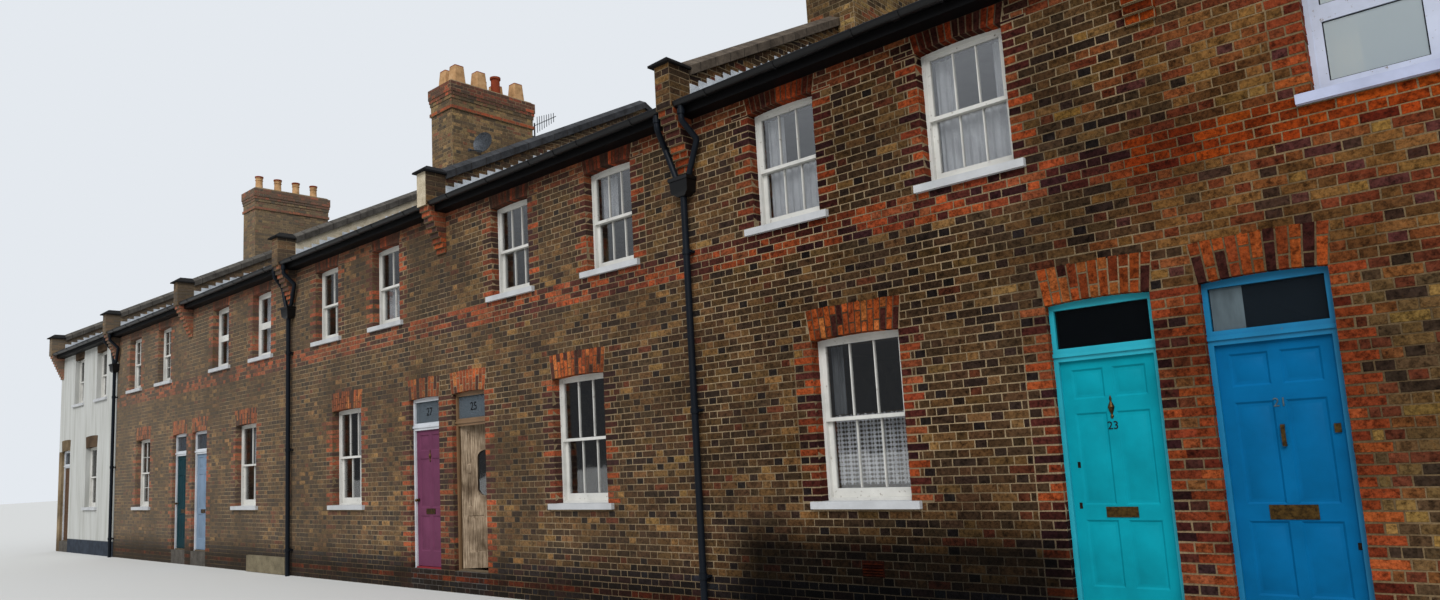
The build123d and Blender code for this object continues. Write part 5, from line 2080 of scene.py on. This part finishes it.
def make_aerial():
    """A boom of thin rods on a mast, held off a stack's rear corner by a bracket."""
    forms = Forms()
    high = STACKS[SQUARE_POT_STACK][1]
    r = TUBE_R
    x = high[0] - CAP_OUT - 3 * r
    shaft = high[1] - CAP_OUT
    y = high[1] + r
    z = high[2] - AERIAL_DROP
    forms.box(x - r, x + r, y, y + 2 * r, z - MAST_LENGTH, z + MAST_ABOVE)
    for foot in (z - MAST_LENGTH, z - MAST_LENGTH + BRACKET_GAP):
        forms.box(x - r, x + r, shaft, y, foot, foot + 2 * r)
    y0, y1 = y + 2 * r, y + 3 * r
    forms.box(x - r, x + AERIAL_LENGTH, y0, y1, z, z + r)
    for n in range(AERIAL_RODS):
        at = x + AERIAL_LENGTH * (n + 1) / (AERIAL_RODS + 1)
        half = AERIAL_SPAN * (1 - n / (2 * AERIAL_RODS))
        forms.box(at - AERIAL_R, at + AERIAL_R, y0, y1, z - half, z + half)
    forms.build("aerial", "grey_steel")


def dress_frame():
    """A finish for every solid that stays in view."""
    finishes = {
        "mortar": ("door_piers", "lower_front_wall", "upper_front_wall_left",
                   "upper_front_wall_middle", "upper_front_wall_right", "rear_wall_left",
                   "rear_wall_middle", "rear_wall_right", "party_walls", "parapet_ends",
                   "door_arches"),
        "arch_mortar": ("window_arches", "rear_arches"),
        "painted_render": ("lower_cream_wall", "upper_cream_wall", "rear_cream_wall"),
        "sill_paint": ("window_sills",),
        "step_stone": ("door_steps",),
        "threshold_paint": ("door_thresholds",),
        "door_frame_paint": ("door_frames",),
        "plaster": ("ceilings",),
        "floor_boards": ("ground_floors", "upper_floors"),
        "dark_glass": ("fanlights",),
        "door_brown": ("back_doors",),
    }
    for material, nodes in finishes.items():
        for node in nodes:
            dress(node, material)


# Studio


def make_camera():
    """The camera of the photograph."""
    a, b, c = (math.radians(v) for v in (CAMERA_TURN, CAMERA_PITCH, CAMERA_ROLL))
    turn = Matrix.Rotation(a, 3, "Z") @ Matrix.Rotation(b, 3, "X") @ Matrix.Rotation(c, 3, "Y")
    right, forward, up = turn.col
    matrix = Matrix((right, up, -forward)).transposed().to_4x4()
    matrix.translation = Vector(CAMERA_PLACE)
    data = bpy.data.cameras.new("camera")
    data.lens = CAMERA_LENS
    data.sensor_width = SENSOR
    data.shift_y = CAMERA_SHIFT
    data.clip_end = CAMERA_FAR
    camera = bpy.data.objects.new("camera", data)
    camera.matrix_world = matrix
    bpy.context.scene.collection.objects.link(camera)
    bpy.context.scene.camera = camera


def make_studio():
    """A pale floor, a soft sky and one broad lamp."""
    scene = bpy.context.scene
    scene.view_settings.view_transform = "Standard"
    mesh = bpy.data.meshes.new("studio_floor")
    corners = [(x * FLOOR_HALF, y * FLOOR_HALF, 0) for x, y in ((-1, -1), (1, -1), (1, 1), (-1, 1))]
    mesh.from_pydata(corners, [], [(0, 1, 2, 3)])
    floor = bpy.data.objects.new("studio_floor", mesh)
    scene.collection.objects.link(floor)
    Look("studio_floor", "#c9c8c4", 0.9)
    mesh.materials.append(LOOKS["studio_floor"])
    world = bpy.data.worlds.new("studio")
    scene.world = world
    world.use_nodes = True
    sky = Nodes(world.node_tree)
    light = sky.nodes["Background"]
    light.inputs["Strength"].default_value = SKY_STRENGTH
    spot = sky.add("TexCoord").outputs["Generated"]
    height = sky.add("SeparateXYZ", {"Vector": spot}).outputs["Z"]
    sky.feed(sky.ramp(height, ((0.10, "#56585b"), (0.40, "#e9eff7"))), light.inputs["Color"])
    seen = sky.add("Background", {"Color": "#e4e9ef"})
    ray = sky.add("LightPath").outputs["Is Camera Ray"]
    mix = sky.add("MixShader", {"Fac": ray, 1: light.outputs[0], 2: seen.outputs[0]})
    sky.feed(mix.outputs[0], sky.nodes["World Output"].inputs["Surface"])
    sun = bpy.data.lights.new("soft_sun", "SUN")
    sun.energy = SUN_ENERGY
    sun.angle = math.radians(SUN_SPREAD)
    lamp = bpy.data.objects.new("soft_sun", sun)
    lamp.rotation_euler = (math.radians(SUN_TILT), 0, math.radians(SUN_TURN))
    scene.collection.objects.link(lamp)


make_camera()
make_materials()
dress_frame()
make_walls()
make_parapets()
make_copings()
make_stacks()
make_cores()
make_pots()
make_dish()
make_aerial()
make_vents()
make_windows()
make_doors()
fanlight_film()
sky_painted_panes()
window_bars()
make_curtains()
make_numbers()
keyholes()
make_gutters()
gutter_straps()
make_pipes()
make_roof()
make_studio()

bpy.context.view_layer.update()
